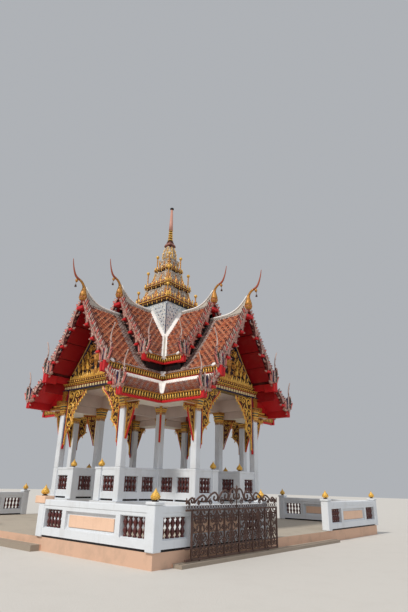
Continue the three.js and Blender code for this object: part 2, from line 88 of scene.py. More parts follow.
class Shade(str, enum.Enum):
    """Tints that faces carry, as sRGB hex."""

    PLAIN = "#FFFFFF"
    RED = "#C41C22"
    CRIMSON = "#940A14"
    MAROON = "#4A0509"
    NAVY = "#141C46"
    TEAL = "#1D5A66"
    GREEN = "#26382E"
    CREAM = "#E8D09A"
    ROSE = "#C48E7C"
    PINK = "#D0746A"
    ASH = "#C4ACA2"
    WINE = "#643634"
    SOOT = "#120E10"
    BRONZE = "#382812"
    TERRACOTTA = "#CC6E46"
    BRICK = "#A25239"
    EMBER = "#DE8E68"
    UMBER = "#663628"
    MAUVE = "#A87C70"
    STEEL = "#2C4468"
    YELLOW = "#CFA04A"
    # The two lower edges of a tile: painted shade and a painted highlight
    SHADED_EDGE = "#2A1610"
    LIT_EDGE = "#B89488"
    NIGHT = "#181218"
    BARK = "#3A1C0C"
    RUSSET = "#4A1A12"


class Tier(enum.Enum):
    """Tiers of the gabled roof, as they stand in the names of the frame's nodes."""

    MAIN = "main"
    UPPER = "upper"


@functools.cache
def linear(code: str) -> tuple[float, float, float, float]:
    """Turns an sRGB hex colour into linear RGBA.

    Args:
        code: Colour such as "#C4141A".

    Returns:
        Linear red, green, blue and an alpha of one.
    """
    knee, slope, offset, gamma = 0.04045, 12.92, 0.055, 2.4
    channels = [int(code[i : i + 2], 16) / 255 for i in (1, 3, 5)]
    return (*(c / slope if c <= knee else ((c + offset) / (1 + offset)) ** gamma for c in channels), 1.0)


def per_metre(size_mm: float) -> float:
    """Texture scale that gives features of a size in millimetres."""
    return 1000 / size_mm


def add_node(
    tree: NodeTree,
    kind: str,
    inputs: dict[int | str, object] | None = None,
    links: dict[int | str, NodeSocket] | None = None,
    **settings: object,
) -> Node:
    """Adds a shader node with its settings, input values and links.

    Args:
        tree: Node tree that takes the node.
        kind: Blender's name for the node type.
        inputs: Values for input sockets.
        links: Output sockets to link into input sockets.
        settings: Properties of the node itself.

    Returns:
        The new node.
    """
    node = tree.nodes.new(kind)
    for name, value in settings.items():
        setattr(node, name, value)
    for key, value in (inputs or {}).items():
        node.inputs[key].default_value = value
    for key, socket in (links or {}).items():
        tree.links.new(socket, node.inputs[key])
    return node


def add_object(name: str, data: ID) -> Object:
    """Puts an object with some data into the scene.

    Args:
        name: Name of the object.
        data: Its mesh, light or camera.

    Returns:
        The object.
    """
    made = bpy.data.objects.new(name, data)
    bpy.context.scene.collection.objects.link(made)
    return made


# Sockets of the Mix node when it mixes colours
MIX_FACTOR, MIX_A, MIX_B, MIX_OUT = 0, 6, 7, 2
# Brushed-on glaze and wax are a little uneven
COAT_ROUGHNESS = 0.12


@dataclass(frozen=True)
class Surface:
    """What a pattern gives to the shader.

    Attributes:
        colour: Socket of the colour.
        height: Socket of a height from zero to one.
        depth_mm: Depth that a height of one stands for.
        roughness: Socket of the roughness, where it varies.
    """

    colour: NodeSocket
    height: NodeSocket | None = None
    depth_mm: float = 0.0
    roughness: NodeSocket | None = None


@dataclass(frozen=True)
class Finish:
    """A plain finish; the kinds below add their own pattern.

    Attributes:
        name: Name of the Blender material.
        colour: Main colour, sRGB hex.
        roughness: Roughness of the shader.
        metallic: Metallic value of the shader.
        coat: Weight of a clear glaze.
        tinted: Whether faces bring their own colour in the tint attribute.
        ior: Index of refraction.
    """

    name: str
    colour: str
    roughness: float
    metallic: float = 0.0
    coat: float = 0.0
    tinted: bool = False
    ior: float = 1.5

    def material(self) -> Material:
        """Makes the material.

        Returns:
            The material, made on first use.
        """
        known = bpy.data.materials.get(self.name)
        if known is not None:
            return known
        made = bpy.data.materials.new(self.name)
        made.use_nodes = True
        tree = made.node_tree
        sockets = tree.nodes["Principled BSDF"].inputs
        sockets["Base Color"].default_value = linear(self.colour)
        values = {"Roughness": self.roughness, "Metallic": self.metallic, "IOR": self.ior,
                  "Coat Weight": self.coat, "Coat Roughness": COAT_ROUGHNESS}
        for name, value in values.items():
            sockets[name].default_value = value
        surface = self.pattern(tree)
        tree.links.new(surface.colour, sockets["Base Color"])
        if surface.roughness is not None:
            tree.links.new(surface.roughness, sockets["Roughness"])
        if surface.height is not None:
            depth = {"Strength": 1.0, "Distance": surface.depth_mm / 1000}
            relief = add_node(tree, "ShaderNodeBump", depth, {"Height": surface.height})
            tree.links.new(relief.outputs[0], sockets["Normal"])
        return made

    def ground(self, tree: NodeTree) -> NodeSocket:
        """Adds the main colour: the tint of the face, or one flat colour.

        Args:
            tree: Node tree of the material.

        Returns:
            Its socket.
        """
        if self.tinted:
            return add_node(tree, "ShaderNodeAttribute", attribute_name="tint").outputs["Color"]
        node = add_node(tree, "ShaderNodeRGB")
        node.outputs[0].default_value = linear(self.colour)
        return node.outputs[0]

    def pattern(self, tree: NodeTree) -> Surface:
        """Returns the colour alone; the kinds below add their own nodes to it."""
        return Surface(self.ground(tree))

    def cloud(
        self, tree: NodeTree, size_mm: float, low: float, high: float, stretch: Point3 = (1, 1, 1)
    ) -> NodeSocket:
        """Adds soft noise of one feature size, spread over a range.

        Args:
            tree: Node tree of the material.
            size_mm: Size of a feature.
            low: Noise value that becomes zero.
            high: Noise value that becomes one.
            stretch: Factors on the coordinates; below one draws the features out.

        Returns:
            Socket of the spread value.
        """
        where = add_node(tree, "ShaderNodeTexCoord").outputs["Object"]
        mapped = add_node(tree, "ShaderNodeMapping", {"Scale": stretch}, {"Vector": where})
        grain = {"Scale": per_metre(size_mm), "Detail": 4.0, "Roughness": 0.6}
        noise = add_node(tree, "ShaderNodeTexNoise", grain, {"Vector": mapped.outputs[0]})
        ends = {"From Min": low, "From Max": high}
        return add_node(tree, "ShaderNodeMapRange", ends, {"Value": noise.outputs["Fac"]}).outputs[0]

    def blend(
        self, tree: NodeTree, base: NodeSocket, over: str, share: NodeSocket, amount: float
    ) -> NodeSocket:
        """Mixes a colour over another by a share.

        Args:
            tree: Node tree of the material.
            base: Colour below.
            over: Colour on top, sRGB hex.
            share: Where the top colour lies, zero to one.
            amount: How much of it shows at most.

        Returns:
            Socket of the mixed colour.
        """
        part = add_node(tree, "ShaderNodeMath", {1: amount}, {0: share}, operation="MULTIPLY")
        links = {MIX_FACTOR: part.outputs[0], MIX_A: base}
        mixed = add_node(tree, "ShaderNodeMix", {MIX_B: linear(over)}, links, data_type="RGBA")
        return mixed.outputs[MIX_OUT]


@dataclass(frozen=True)
class LimeRender(Finish):
    """Brushed lime-wash on cement render: matt, with rain streaks and a faint trowel wave.

    Attributes:
        stain: Colour of dust and rain marks, sRGB hex.
        dirt: How much of the stain shows at most.
    """

    stain: str = "#8F8778"
    dirt: float = 0.4

    def pattern(self, tree: NodeTree) -> Surface:
        """Adds mottling, rain streaks and trowel marks.

        Args:
            tree: Node tree of the material.

        Returns:
            Its colour and relief.
        """
        mottled = self.blend(tree, self.ground(tree), self.stain, self.cloud(tree, 700, 0.5, 0.8), self.dirt)
        # Rain runs straight down, in marks 90 mm wide and about a metre long
        streaks = self.cloud(tree, 90, 0.55, 0.85, (1, 1, 0.09))
        streaked = self.blend(tree, mottled, self.stain, streaks, self.dirt)
        # Sand grain is 2 mm, too fine for the picture, so the trowel's 45 mm wave is drawn
        return Surface(streaked, self.cloud(tree, 45, 0.3, 0.7), 3.0)


@dataclass(frozen=True)
class GlazedTile(Finish):
    """Pressed clay tiles with a thin half-gloss glaze, each in its own tint, greyed by lichen."""

    def pattern(self, tree: NodeTree) -> Surface:
        """Adds lichen, kiln variation and the wear of the glaze.

        Args:
            tree: Node tree of the material.

        Returns:
            Its colour and roughness.
        """
        lichen = self.blend(tree, self.ground(tree), "#9A8A80", self.cloud(tree, 420, 0.48, 0.75), 0.25)
        scorched = self.blend(tree, lichen, "#4A2A20", self.cloud(tree, 60, 0.55, 0.85), 0.25)
        wear = {"Value": self.cloud(tree, 260, 0.3, 0.7)}
        worn = add_node(tree, "ShaderNodeMapRange", {"To Min": 0.42, "To Max": 0.75}, wear)
        return Surface(scorched, roughness=worn.outputs[0])


@dataclass(frozen=True)
class Gilding(Finish):
    """Gold paint and leaf on cast relief: soft metal shine, with dark patina left in the hollows.

    Attributes:
        patina: Colour of worn and shaded gold, sRGB hex.
        relief_mm: Size of the fine cast pattern, drawn coarse enough to show.
    """

    patina: str = "#5A3A14"
    relief_mm: float = 38

    def pattern(self, tree: NodeTree) -> Surface:
        """Adds patina and the fine cast pattern.

        Args:
            tree: Node tree of the material.

        Returns:
            Its colour and relief.
        """
        where = {"Vector": add_node(tree, "ShaderNodeTexCoord").outputs["Object"]}
        scale = {"Scale": per_metre(self.relief_mm), "Smoothness": 0.4}
        cells = add_node(tree, "ShaderNodeTexVoronoi", scale, where, feature="SMOOTH_F1").outputs["Distance"]
        hollow = add_node(tree, "ShaderNodeMapRange", {"From Min": 0.25, "From Max": 0.8}, {"Value": cells})
        worn = self.blend(tree, self.ground(tree), self.patina, hollow.outputs[0], 0.6)
        dulled = self.blend(tree, worn, self.patina, self.cloud(tree, 160, 0.5, 0.8), 0.45)
        rounded = add_node(tree, "ShaderNodeMath", {0: 1.0}, {1: cells}, operation="SUBTRACT")
        return Surface(dulled, rounded.outputs[0], 9.0)


@dataclass(frozen=True)
class GlassMosaic(Finish):
    """Cut glass set in mortar: small chips of a few colours with pale joints.

    Attributes:
        chips: Pairs of share and sRGB hex; a chip takes the last colour whose share it passes.
        joint: Colour of the mortar, sRGB hex.
        chip_mm: Size of a chip; real ones are about 15 mm, and are drawn larger so that they show.
    """

    chips: tuple[tuple[float, str], ...] = ()
    joint: str = "#8A7F78"
    chip_mm: float = 30

    def pattern(self, tree: NodeTree) -> Surface:
        """Adds the chips, their joints and their slightly uneven lie.

        Args:
            tree: Node tree of the material.

        Returns:
            Its colour and relief.
        """
        where = {"Vector": add_node(tree, "ShaderNodeTexCoord").outputs["Object"]}
        scale = {"Scale": per_metre(self.chip_mm), "Randomness": 0.85}
        cells = add_node(tree, "ShaderNodeTexVoronoi", scale, where)
        edges = add_node(tree, "ShaderNodeTexVoronoi", scale, where, feature="DISTANCE_TO_EDGE")
        draw = add_node(tree, "ShaderNodeSeparateColor", links={0: cells.outputs["Color"]}).outputs
        colour = self.ground(tree)
        for share, chip in self.chips:
            chosen = add_node(tree, "ShaderNodeMath", {1: share}, {0: draw[0]}, operation="GREATER_THAN")
            colour = self.blend(tree, colour, chip, chosen.outputs[0], 1.0)
        near = {0: edges.outputs["Distance"]}
        joint = add_node(tree, "ShaderNodeMath", {1: 0.06}, near, operation="LESS_THAN")
        return Surface(self.blend(tree, colour, self.joint, joint.outputs[0], 0.8), draw[1], 4.0)


@dataclass(frozen=True)
class OilPaint(Finish):
    """Gloss oil paint brushed on planed boards: saturated, with faint grain and sun-bleached patches.

    Attributes:
        faded: Colour of bleached paint, sRGB hex.
        fade: How much of it shows at most.
    """

    faded: str = "#9A5A50"
    fade: float = 0.22

    def pattern(self, tree: NodeTree) -> Surface:
        """Adds bleached patches and the grain below the paint.

        Args:
            tree: Node tree of the material.

        Returns:
            Its colour and relief.
        """
        base, patches = self.ground(tree), self.cloud(tree, 350, 0.5, 0.8)
        bleached = self.blend(tree, base, self.faded, patches, self.fade)
        # Grain lines are 6 mm apart, drawn at 25 mm so that they show
        return Surface(bleached, self.cloud(tree, 25, 0.3, 0.7, (1, 0.08, 1)), 1.2)


@dataclass(frozen=True)
class Paving(Finish):
    """Cement slab with a peach lime-washed riser and bare concrete kerbs.

    Attributes:
        riser: Colour of the upright faces, sRGB hex.
        kerb: Colour of everything outside the slab, sRGB hex.
        slab_half: Half the width of the slab, in metres.
    """

    riser: str = "#D6B096"
    kerb: str = "#9C8F80"
    slab_half: float = 6.4

    def pattern(self, tree: NodeTree) -> Surface:
        """Adds the riser by the lie of the face, and the kerbs by their distance.

        Args:
            tree: Node tree of the material.

        Returns:
            Its colour and relief.
        """
        lie = add_node(tree, "ShaderNodeNewGeometry").outputs["Normal"]
        normal = {"Value": add_node(tree, "ShaderNodeSeparateXYZ", links={0: lie}).outputs["Z"]}
        upright = add_node(tree, "ShaderNodeMapRange", {"From Min": 0.9, "From Max": 0.5}, normal)
        where = add_node(tree, "ShaderNodeTexCoord").outputs["Object"]
        spot = add_node(tree, "ShaderNodeSeparateXYZ", links={0: where}).outputs
        reach = {i: add_node(tree, "ShaderNodeMath", links={0: spot[i]}, operation="ABSOLUTE").outputs[0]
                 for i in (0, 1)}
        far = {0: add_node(tree, "ShaderNodeMath", links=reach, operation="MAXIMUM").outputs[0]}
        outside = add_node(tree, "ShaderNodeMath", {1: self.slab_half}, far, operation="GREATER_THAN")
        painted = self.blend(tree, self.ground(tree), self.riser, upright.outputs[0], 1.0)
        kerbed = self.blend(tree, painted, self.kerb, outside.outputs[0], 1.0)
        dusty = self.blend(tree, kerbed, "#7F7466", self.cloud(tree, 500, 0.5, 0.8), 0.35)
        return Surface(dusty, self.cloud(tree, 30, 0.3, 0.7), 2.5)


@dataclass(frozen=True)
class WroughtIron(Finish):
    """Forged bar with old brown paint and rust: dull, with warm patches."""

    def pattern(self, tree: NodeTree) -> Surface:
        """Adds rust patches and hammer marks.

        Args:
            tree: Node tree of the material.

        Returns:
            Its colour and relief.
        """
        rusty = self.blend(tree, self.ground(tree), "#8A6454", self.cloud(tree, 120, 0.5, 0.75), 0.4)
        return Surface(rusty, self.cloud(tree, 20, 0.3, 0.7), 1.5)


# Lime-wash is chalk white and quite matt, and shows the dust of the yard
PLASTER = LimeRender("brushed_lime_wash", "#DDE1E5", 0.82, dirt=0.22)
# The same wash with iron-oxide pigment, on the sunk panels and caps
PEACH = LimeRender("peach_lime_wash", "#ECC6AA", 0.82, stain="#B08A6E", dirt=0.3)
# Emulsion paint on fibre-cement ceiling sheets, dulled by dust
CEILING = LimeRender("ceiling_emulsion", "#D6C2B6", 0.85, stain="#AA9686", dirt=0.3)
# The same paint on the sheets under the skirt roofs, creamy and flat
SOFFIT = LimeRender("soffit_emulsion", "#EEE4D4", 0.8, stain="#B8AA96", dirt=0.2)
# Cement fillets over ridges and valleys, white-washed and weathered
CEMENT = LimeRender("ridge_cement", "#F4F0EA", 0.8, stain="#8A8276")
# The same cement darker and dirtier: its grey on the sides of the ridge caps is painted shade below the
# white crest, and it also draws the grey gutter strip of the valleys
SHADED_WEATHERED_CEMENT = LimeRender("shaded_weathered_cement", "#B4ACA0", 0.85, stain="#6A6056", dirt=0.5)
# Stone chips ground flat in cement: grey, with a little shine where feet have worn it
TERRAZZO = LimeRender("stair_terrazzo", "#B5AB9C", 0.55, stain="#7A7060")
# Trowelled cement, matt and dusty
PAVING = Paving("terrace_paving", "#B3A999", 0.85)
# Matt studio floor, plain and pale
BACKDROP = LimeRender("studio_floor", "#CFCBC4", 0.9, stain="#BDB8B0", dirt=0.2)
# Glazed clay, of whose shine the weather has left little; each tile brings its own fired colour
TILES = GlazedTile("glazed_roof_tile", "#B25A3A", 0.5, coat=0.08, tinted=True)
# Gold leaf over red bole: warm, half matt, brown where it has worn off the relief
GOLD = Gilding("gold_leaf_relief", "#CE8F3A", 0.42, metallic=0.3, patina="#4A2A12")
# The same leaf, paler and brighter, on small and raised pieces; its pale yellow is partly a painted
# highlight of lit gold
GILT = Gilding("bright_gold_leaf", "#FFCA58", 0.36, metallic=0.15, patina="#8A5A20", relief_mm=30)
# Thin leaf over an orange primer, high on the crown
EMBER_GOLD = Gilding("orange_gold_leaf", "#D8903E", 0.4, metallic=0.2, patina="#6A3A18")
# Gold paint gone brown and dull under the beams
OLD_GOLD = Gilding("weathered_gold_paint", "#8A6C30", 0.5, metallic=0.3, patina="#36260F")
# Rose-brown glass with single white, dark and red chips, dulled by dust
MOSAIC = GlassMosaic(
    "gable_glass_mosaic",
    "#BE9080",
    0.4,
    coat=0.15,
    chips=((0.5, "#A47262"), (0.7, "#D0B4A4"), (0.84, "#5A4846"), (0.93, "#A8343A")),
    joint="#7C6058",
    chip_mm=42,
)
# Silvered glass; its pale blue-grey chips are a painted reflection of the sky
MIRROR = GlassMosaic(
    "mirror_glass_mosaic",
    "#CCD6DC",
    0.3,
    metallic=0.1,
    chips=((0.45, "#B4C4D0"), (0.65, "#ECECE4"), (0.93, "#8A9AAA")),
    joint="#BCB6A8",
    chip_mm=45,
)
# Glass of all colours over grey stucco: from below a warm grey with brown and gilt specks
STUCCO = GlassMosaic(
    "crown_glass_mosaic",
    "#B2A696",
    0.45,
    chips=((0.4, "#94867A"), (0.66, "#D6CEC0"), (0.84, "#A87C48"), (0.93, "#6A3226")),
    joint="#7E7060",
    chip_mm=55,
)
# Enamel brushed on wood and stucco: full colour with a low shine; each face brings its own tint
ENAMEL = OilPaint("enamel_paint", "#C4141A", 0.5, coat=0.04, tinted=True, ior=1.38)
# Glazed clay: dark red-brown, with a wet shine on the bellies
CLAY = OilPaint("glazed_clay_baluster", "#521A16", 0.35, coat=0.3, faded="#7A3A32", fade=0.3)
# Forged iron under old brown paint: dull, with a weak metal shine on the bars
IRON = WroughtIron("brown_wrought_iron", "#503830", 0.5, metallic=0.15)


class Draft:
    """Faces of one mesh in the making, each with its finish, tint and shading."""

    def __init__(self, finish: Finish, tint: Shade = Shade.PLAIN, smooth: bool = False) -> None:
        """Starts an empty mesh.

        Args:
            finish: Finish of the next faces.
            tint: Tint of the next faces.
            smooth: Whether they are shaded smooth.
        """
        self.points: list[Point3] = []
        self.faces: list[tuple[int, ...]] = []
        self.marks: list[tuple[Finish, Shade, bool]] = []
        self.use(finish, tint, smooth)

    def use(self, finish: Finish, tint: Shade = Shade.PLAIN, smooth: bool = False) -> Draft:
        """Sets the finish, tint and shading of the next faces and returns the draft."""
        self.mark = (finish, tint, smooth)
        return self

    def paint(self, tint: Shade, smooth: bool = False) -> Draft:
        """Sets gloss paint of a tint for the next faces and returns the draft."""
        return self.use(ENAMEL, tint, smooth)

    def surface(self, points: Sequence[Point3], faces: Iterable[Sequence[int]]) -> None:
        """Adds faces that already look the right way.

        Args:
            points: Corners of the faces.
            faces: Lists of indices into the points.
        """
        base = len(self.points)
        self.points.extend(points)
        for face in faces:
            self.faces.append(tuple(base + i for i in face))
            self.marks.append(self.mark)

    def shell(self, points: Sequence[Point3], faces: Sequence[Sequence[int]]) -> None:
        """Adds a closed shell, turned so that its faces look outwards.

        Args:
            points: Corners of the shell.
            faces: Faces with one common sense of turning.
        """
        grid = np.asarray(points)
        volume = sum(
            float(grid[face[0]] @ np.cross(grid[face[i]], grid[face[i + 1]]))
            for face in faces
            for i in range(1, len(face) - 1)
        )
        self.surface(points, faces if volume > 0 else [tuple(reversed(face)) for face in faces])

    def skin(self, rings: Sequence[Ring]) -> None:
        """Adds a closed skin over rings of points; a ring of one point is a tip.

        Args:
            rings: Rings with equal counts, in order.
        """
        points = [point for ring in rings for point in ring]
        starts = list(accumulate([0, *(len(ring) for ring in rings)]))
        faces: list[tuple[int, ...]] = []
        for (a, ring), (b, after) in pairwise(zip(starts, rings)):
            count = max(len(ring), len(after))
            for i in range(count):
                j = (i + 1) % count
                if len(ring) == 1:
                    faces.append((a, b + j, b + i))
                elif len(after) == 1:
                    faces.append((a + i, a + j, b))
                else:
                    faces.append((a + i, a + j, b + j, b + i))
        if len(rings[0]) > 1:
            faces.append(tuple(reversed(range(len(rings[0])))))
        if len(rings[-1]) > 1:
            faces.append(tuple(range(starts[-2], starts[-1])))
        self.shell(points, faces)

    def box(self, low: Point3, high: Point3, chamfer: float = 0.0) -> None:
        """Adds a block, with its edges taken off if a chamfer is given.

        Args:
            low: Lowest corner.
            high: Highest corner.
            chamfer: Width of the bevel.
        """
        (x0, y0, z0), (x1, y1, z1) = low, high
        c = chamfer

        def ring(inset: float, z: float) -> Ring:
            """Outline of the block, with its upright edges taken off.

            Args:
                inset: How far it lies inside the block's faces.
                z: Its height.

            Returns:
                Its corners.
            """
            a0, a1, b0, b1 = x0 + inset, x1 - inset, y0 + inset, y1 - inset
            if not c:
                return [(a0, b0, z), (a1, b0, z), (a1, b1, z), (a0, b1, z)]
            return [
                (a0 + c, b0, z), (a1 - c, b0, z), (a1, b0 + c, z), (a1, b1 - c, z),
                (a1 - c, b1, z), (a0 + c, b1, z), (a0, b1 - c, z), (a0, b0 + c, z),
            ]

        levels = [(0, z0), (0, z1)] if not c else [(c, z0), (0, z0 + c), (0, z1 - c), (c, z1)]
        self.skin([ring(inset, z) for inset, z in levels])

    def plate(self, outline: Sequence[Point2], low: float, high: float) -> None:
        """Adds a flat plate with a drawn outline.

        Args:
            outline: Corners in the drawing plane.
            low: Depth of its back.
            high: Depth of its face.
        """
        count = len(outline)
        points = [(x, y, low) for x, y in outline] + [(x, y, high) for x, y in outline]
        sides = [(i, (i + 1) % count, (i + 1) % count + count, i + count) for i in range(count)]
        self.shell(points, [tuple(reversed(range(count))), tuple(range(count, 2 * count)), *sides])

    def lathe(self, profile: Sequence[Point2], x: float, y: float, sides: int, start: float = 0.0) -> None:
        """Adds a turned body.

        Args:
            profile: Pairs of radius and height from one end to the other.
            x: Place of the axis.
            y: Place of the axis.
            sides: Number of sides.
            start: Angle of the first side, in radians.
        """
        rings: list[Ring] = []
        for radius, z in profile:
            if radius == 0:
                rings.append([(x, y, z)])
                continue
            angles = [start + math.tau * i / sides for i in range(sides)]
            rings.append([(x + radius * math.cos(a), y + radius * math.sin(a), z) for a in angles])
        self.skin(rings)

    def square(self, profile: Sequence[Point2], x: float = 0.0, y: float = 0.0) -> None:
        """Adds a square moulded body from pairs of half width and height."""
        self.lathe([(half * math.sqrt(2), z) for half, z in profile], x, y, 4, math.pi / 4)

    def sweep(self, path: Sequence[Point3], radii: Sequence[float], sides: int, flat: float = 1.0) -> None:
        """Adds a rod along a path; a radius of zero makes a tip.

        Args:
            path: Points of its middle line.
            radii: Radius at each point.
            sides: Number of sides.
            flat: Factor on the thickness across the path's own plane.
        """
        spine = [Vector(point) for point in path]
        plane = (spine[-1] - spine[0]).cross(spine[len(spine) // 2] - spine[0])
        across = plane.normalized() if plane.length > 1e-6 else Vector((0, 1, 0))
        rings: list[Ring] = []
        for i, (point, radius) in enumerate(zip(spine, radii)):
            if radius == 0:
                rings.append([tuple(point)])
                continue
            along = (spine[min(i + 1, len(spine) - 1)] - spine[max(i - 1, 0)]).normalized()
            side = along.cross(across).normalized()
            rise = across * radius * flat
            turned = [math.tau * k / sides for k in range(sides)]
            rings.append([tuple(point + side * radius * math.cos(a) + rise * math.sin(a)) for a in turned])
        self.skin(rings)

    def strip(self, path: Sequence[Point2], widths: Sequence[float], high: float, low: float = 0.0) -> None:
        """Adds a moulded strip with a raised middle along a drawn path.

        Args:
            path: Points in the drawing plane.
            widths: Width at each point.
            high: Height of its middle.
            low: Depth of its back.
        """
        rings: list[Ring] = []
        edge = low + (high - low) * 0.45
        for i, ((x, y), width) in enumerate(zip(path, widths)):
            (x0, y0), (x1, y1) = path[max(i - 1, 0)], path[min(i + 1, len(path) - 1)]
            run = math.hypot(x1 - x0, y1 - y0)
            nx, ny = -(y1 - y0) / run * width / 2, (x1 - x0) / run * width / 2
            rings.append(
                [(x + nx, y + ny, low), (x + nx, y + ny, edge), (x, y, high),
                 (x - nx, y - ny, edge), (x - nx, y - ny, low)]
            )
        self.skin(rings)

    def stamp(self, part: Draft, place: Matrix) -> None:
        """Adds another draft; its faces still look outwards where the matrix mirrors it.

        Args:
            part: Draft to add.
            place: Matrix that places it.
        """
        if not part.points:
            return
        base = len(self.points)
        grid = np.asarray(part.points) @ np.array(place.to_3x3()).T + np.array(place.translation)
        self.points.extend(map(tuple, grid.tolist()))
        mirrored = place.to_3x3().determinant() < 0
        for face in part.faces:
            self.faces.append(tuple(base + i for i in (reversed(face) if mirrored else face)))
        self.marks.extend(part.marks)

    def scatter(self, motif: Draft, spots: Iterable[tuple[float, ...]]) -> None:
        """Adds a flat motif once for each spot, given as the arguments of flat_place."""
        for spot in spots:
            self.stamp(motif, flat_place(*spot))

    def mirrored(self) -> Draft:
        """Joins the draft with its mirror image across X.

        Returns:
            A new draft with both.
        """
        both = Draft(*self.mark)
        both.stamp(self, Matrix.Identity(4))
        both.stamp(self, Matrix.Scale(-1, 4, (1, 0, 0)))
        return both

    def build(self, name: str, slot: str, body: str = TEMPLE, nodes: Sequence[str] = (),
              turn: int = 0) -> None:
        """Makes the object, sets it on its body and hides the frame nodes that it stands for.

        Args:
            name: Name of the piece.
            slot: Not used.
            body: Body that it rides on.
            nodes: Frame nodes that it replaces.
            turn: Number of quarter turns from the south.
        """
        mesh = bpy.data.meshes.new(name)
        mesh.from_pydata(self.points, [], self.faces)
        finishes = list(dict.fromkeys(finish for finish, _, _ in self.marks))
        for finish in finishes:
            mesh.materials.append(finish.material())
        mesh.polygons.foreach_set("material_index", [finishes.index(mark[0]) for mark in self.marks])
        mesh.polygons.foreach_set("use_smooth", [mark[2] for mark in self.marks])
        tint = mesh.color_attributes.new("tint", "FLOAT_COLOR", "CORNER")
        colours = np.array([linear(mark[1]) for mark in self.marks], np.float32)
        corners = np.repeat(colours, [len(face) for face in self.faces], axis=0)
        tint.data.foreach_set("color", corners.ravel())
        mesh.update()
        piece = add_object(name, mesh)
        piece.matrix_world = quarter(turn)
        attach(piece, body)
        if nodes:
            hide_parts(*nodes)
        LOG.info("%s: %d faces", name, len(self.faces))


def moved(x: float, y: float, z: float) -> Matrix:
    """Matrix that moves a draft."""
    return Matrix.Translation((x, y, z))


def sized(x: float, y: float, z: float) -> Matrix:
    """Matrix that scales a draft along its three axes."""
    return Matrix.Diagonal((x, y, z, 1))


def quarter(turn: int) -> Matrix:
    """Matrix of a number of quarter turns about the upright axis."""
    return Matrix.Rotation(turn * math.pi / 2, 4, "Z")


def facing(origin: Point3, right: Point3, up: Point3 = (0, 0, 1)) -> Matrix:
    """Matrix that stands a drawing on a wall.

    Args:
        origin: Where the drawing's origin goes.
        right: Direction of the drawing's X.
        up: Direction of the drawing's Y.

    Returns:
        The placing matrix; the drawing's Z looks away from the wall.
    """
    across, rise = Vector(right), Vector(up)
    out = across.cross(rise)
    columns = Matrix((across, rise, out)).transposed().to_4x4()
    columns.translation = Vector(origin)
    return columns


SOUTH, EAST = (1.0, 0.0, 0.0), (0.0, 1.0, 0.0)
# Sees a piece across the corner's diagonal, where x and -y change places
ACROSS = Matrix(((0, -1, 0, 0), (-1, 0, 0, 0), (0, 0, 1, 0), (0, 0, 0, 1)))


def cornered(leg: Draft, other: Draft) -> Draft:
    """Joins the leg by the south arm with one by the east arm.

    Args:
        leg: Leg by the south arm.
        other: Leg that is seen across the diagonal.

    Returns:
        A new draft with both.
    """
    draft = Draft(*leg.mark)
    draft.stamp(leg, Matrix.Identity(4))
    draft.stamp(other, ACROSS)
    return draft


def flat_place(x: float, y: float, angle: float = 0.0, size: float = 1.0, flip: bool = False) -> Matrix:
    """Matrix that sets a motif in a drawing.

    Args:
        x: Place in the drawing.
        y: Place in the drawing.
        angle: Turn in degrees, anticlockwise.
        size: Scale.
        flip: Whether the motif is mirrored first.

    Returns:
        The placing matrix.
    """
    turned = Matrix.Rotation(math.radians(angle), 4, "Z") @ Matrix.Scale(size, 4)
    if flip:
        turned = turned @ Matrix.Scale(-1, 4, (1, 0, 0))
    return moved(x, y, 0) @ turned


def curve(points: Sequence[Sequence[float]], steps: int) -> list[tuple[float, ...]]:
    """Smooth curve through given points.

    Args:
        points: Points to pass through.
        steps: Number of stretches between each two.

    Returns:
        Points along the curve, ends included.
    """
    knots = np.asarray([points[0], *points, points[-1]], float)
    drawn = []
    for i in range(1, len(knots) - 2):
        a, b, c, d = knots[i - 1 : i + 3]
        for k in range(steps):
            t = k / steps
            bend, twist = 2 * a - 5 * b + 4 * c - d, 3 * b - a - 3 * c + d
            drawn.append(0.5 * (2 * b + (c - a) * t + bend * t**2 + twist * t**3))
    return [tuple(map(float, point)) for point in [*drawn, knots[-1]]]


def taper(count: int, first: float, last: float, middle: float | None = None) -> list[float]:
    """Even run of values from first to last, by way of a middle value if one is given."""
    keys = [first, last] if middle is None else [first, middle, last]
    return [float(v) for v in np.interp(np.linspace(0, 1, count), np.linspace(0, 1, len(keys)), keys)]


def spiral(radius: float, start: float, turns: float, steps: int = 14) -> list[Point2]:
    """Inward spiral about the origin of a drawing.

    Args:
        radius: Outer radius.
        start: Angle of its outer end, in degrees.
        turns: Turns inwards; negative runs clockwise.
        steps: Number of stretches.

    Returns:
        Points from the outside in.
    """
    drawn = []
    for i in range(steps + 1):
        t = i / steps
        angle = math.radians(start) + math.tau * turns * t
        reach = radius * (1 - 0.8 * t)
        drawn.append((reach * math.cos(angle), reach * math.sin(angle)))
    return drawn


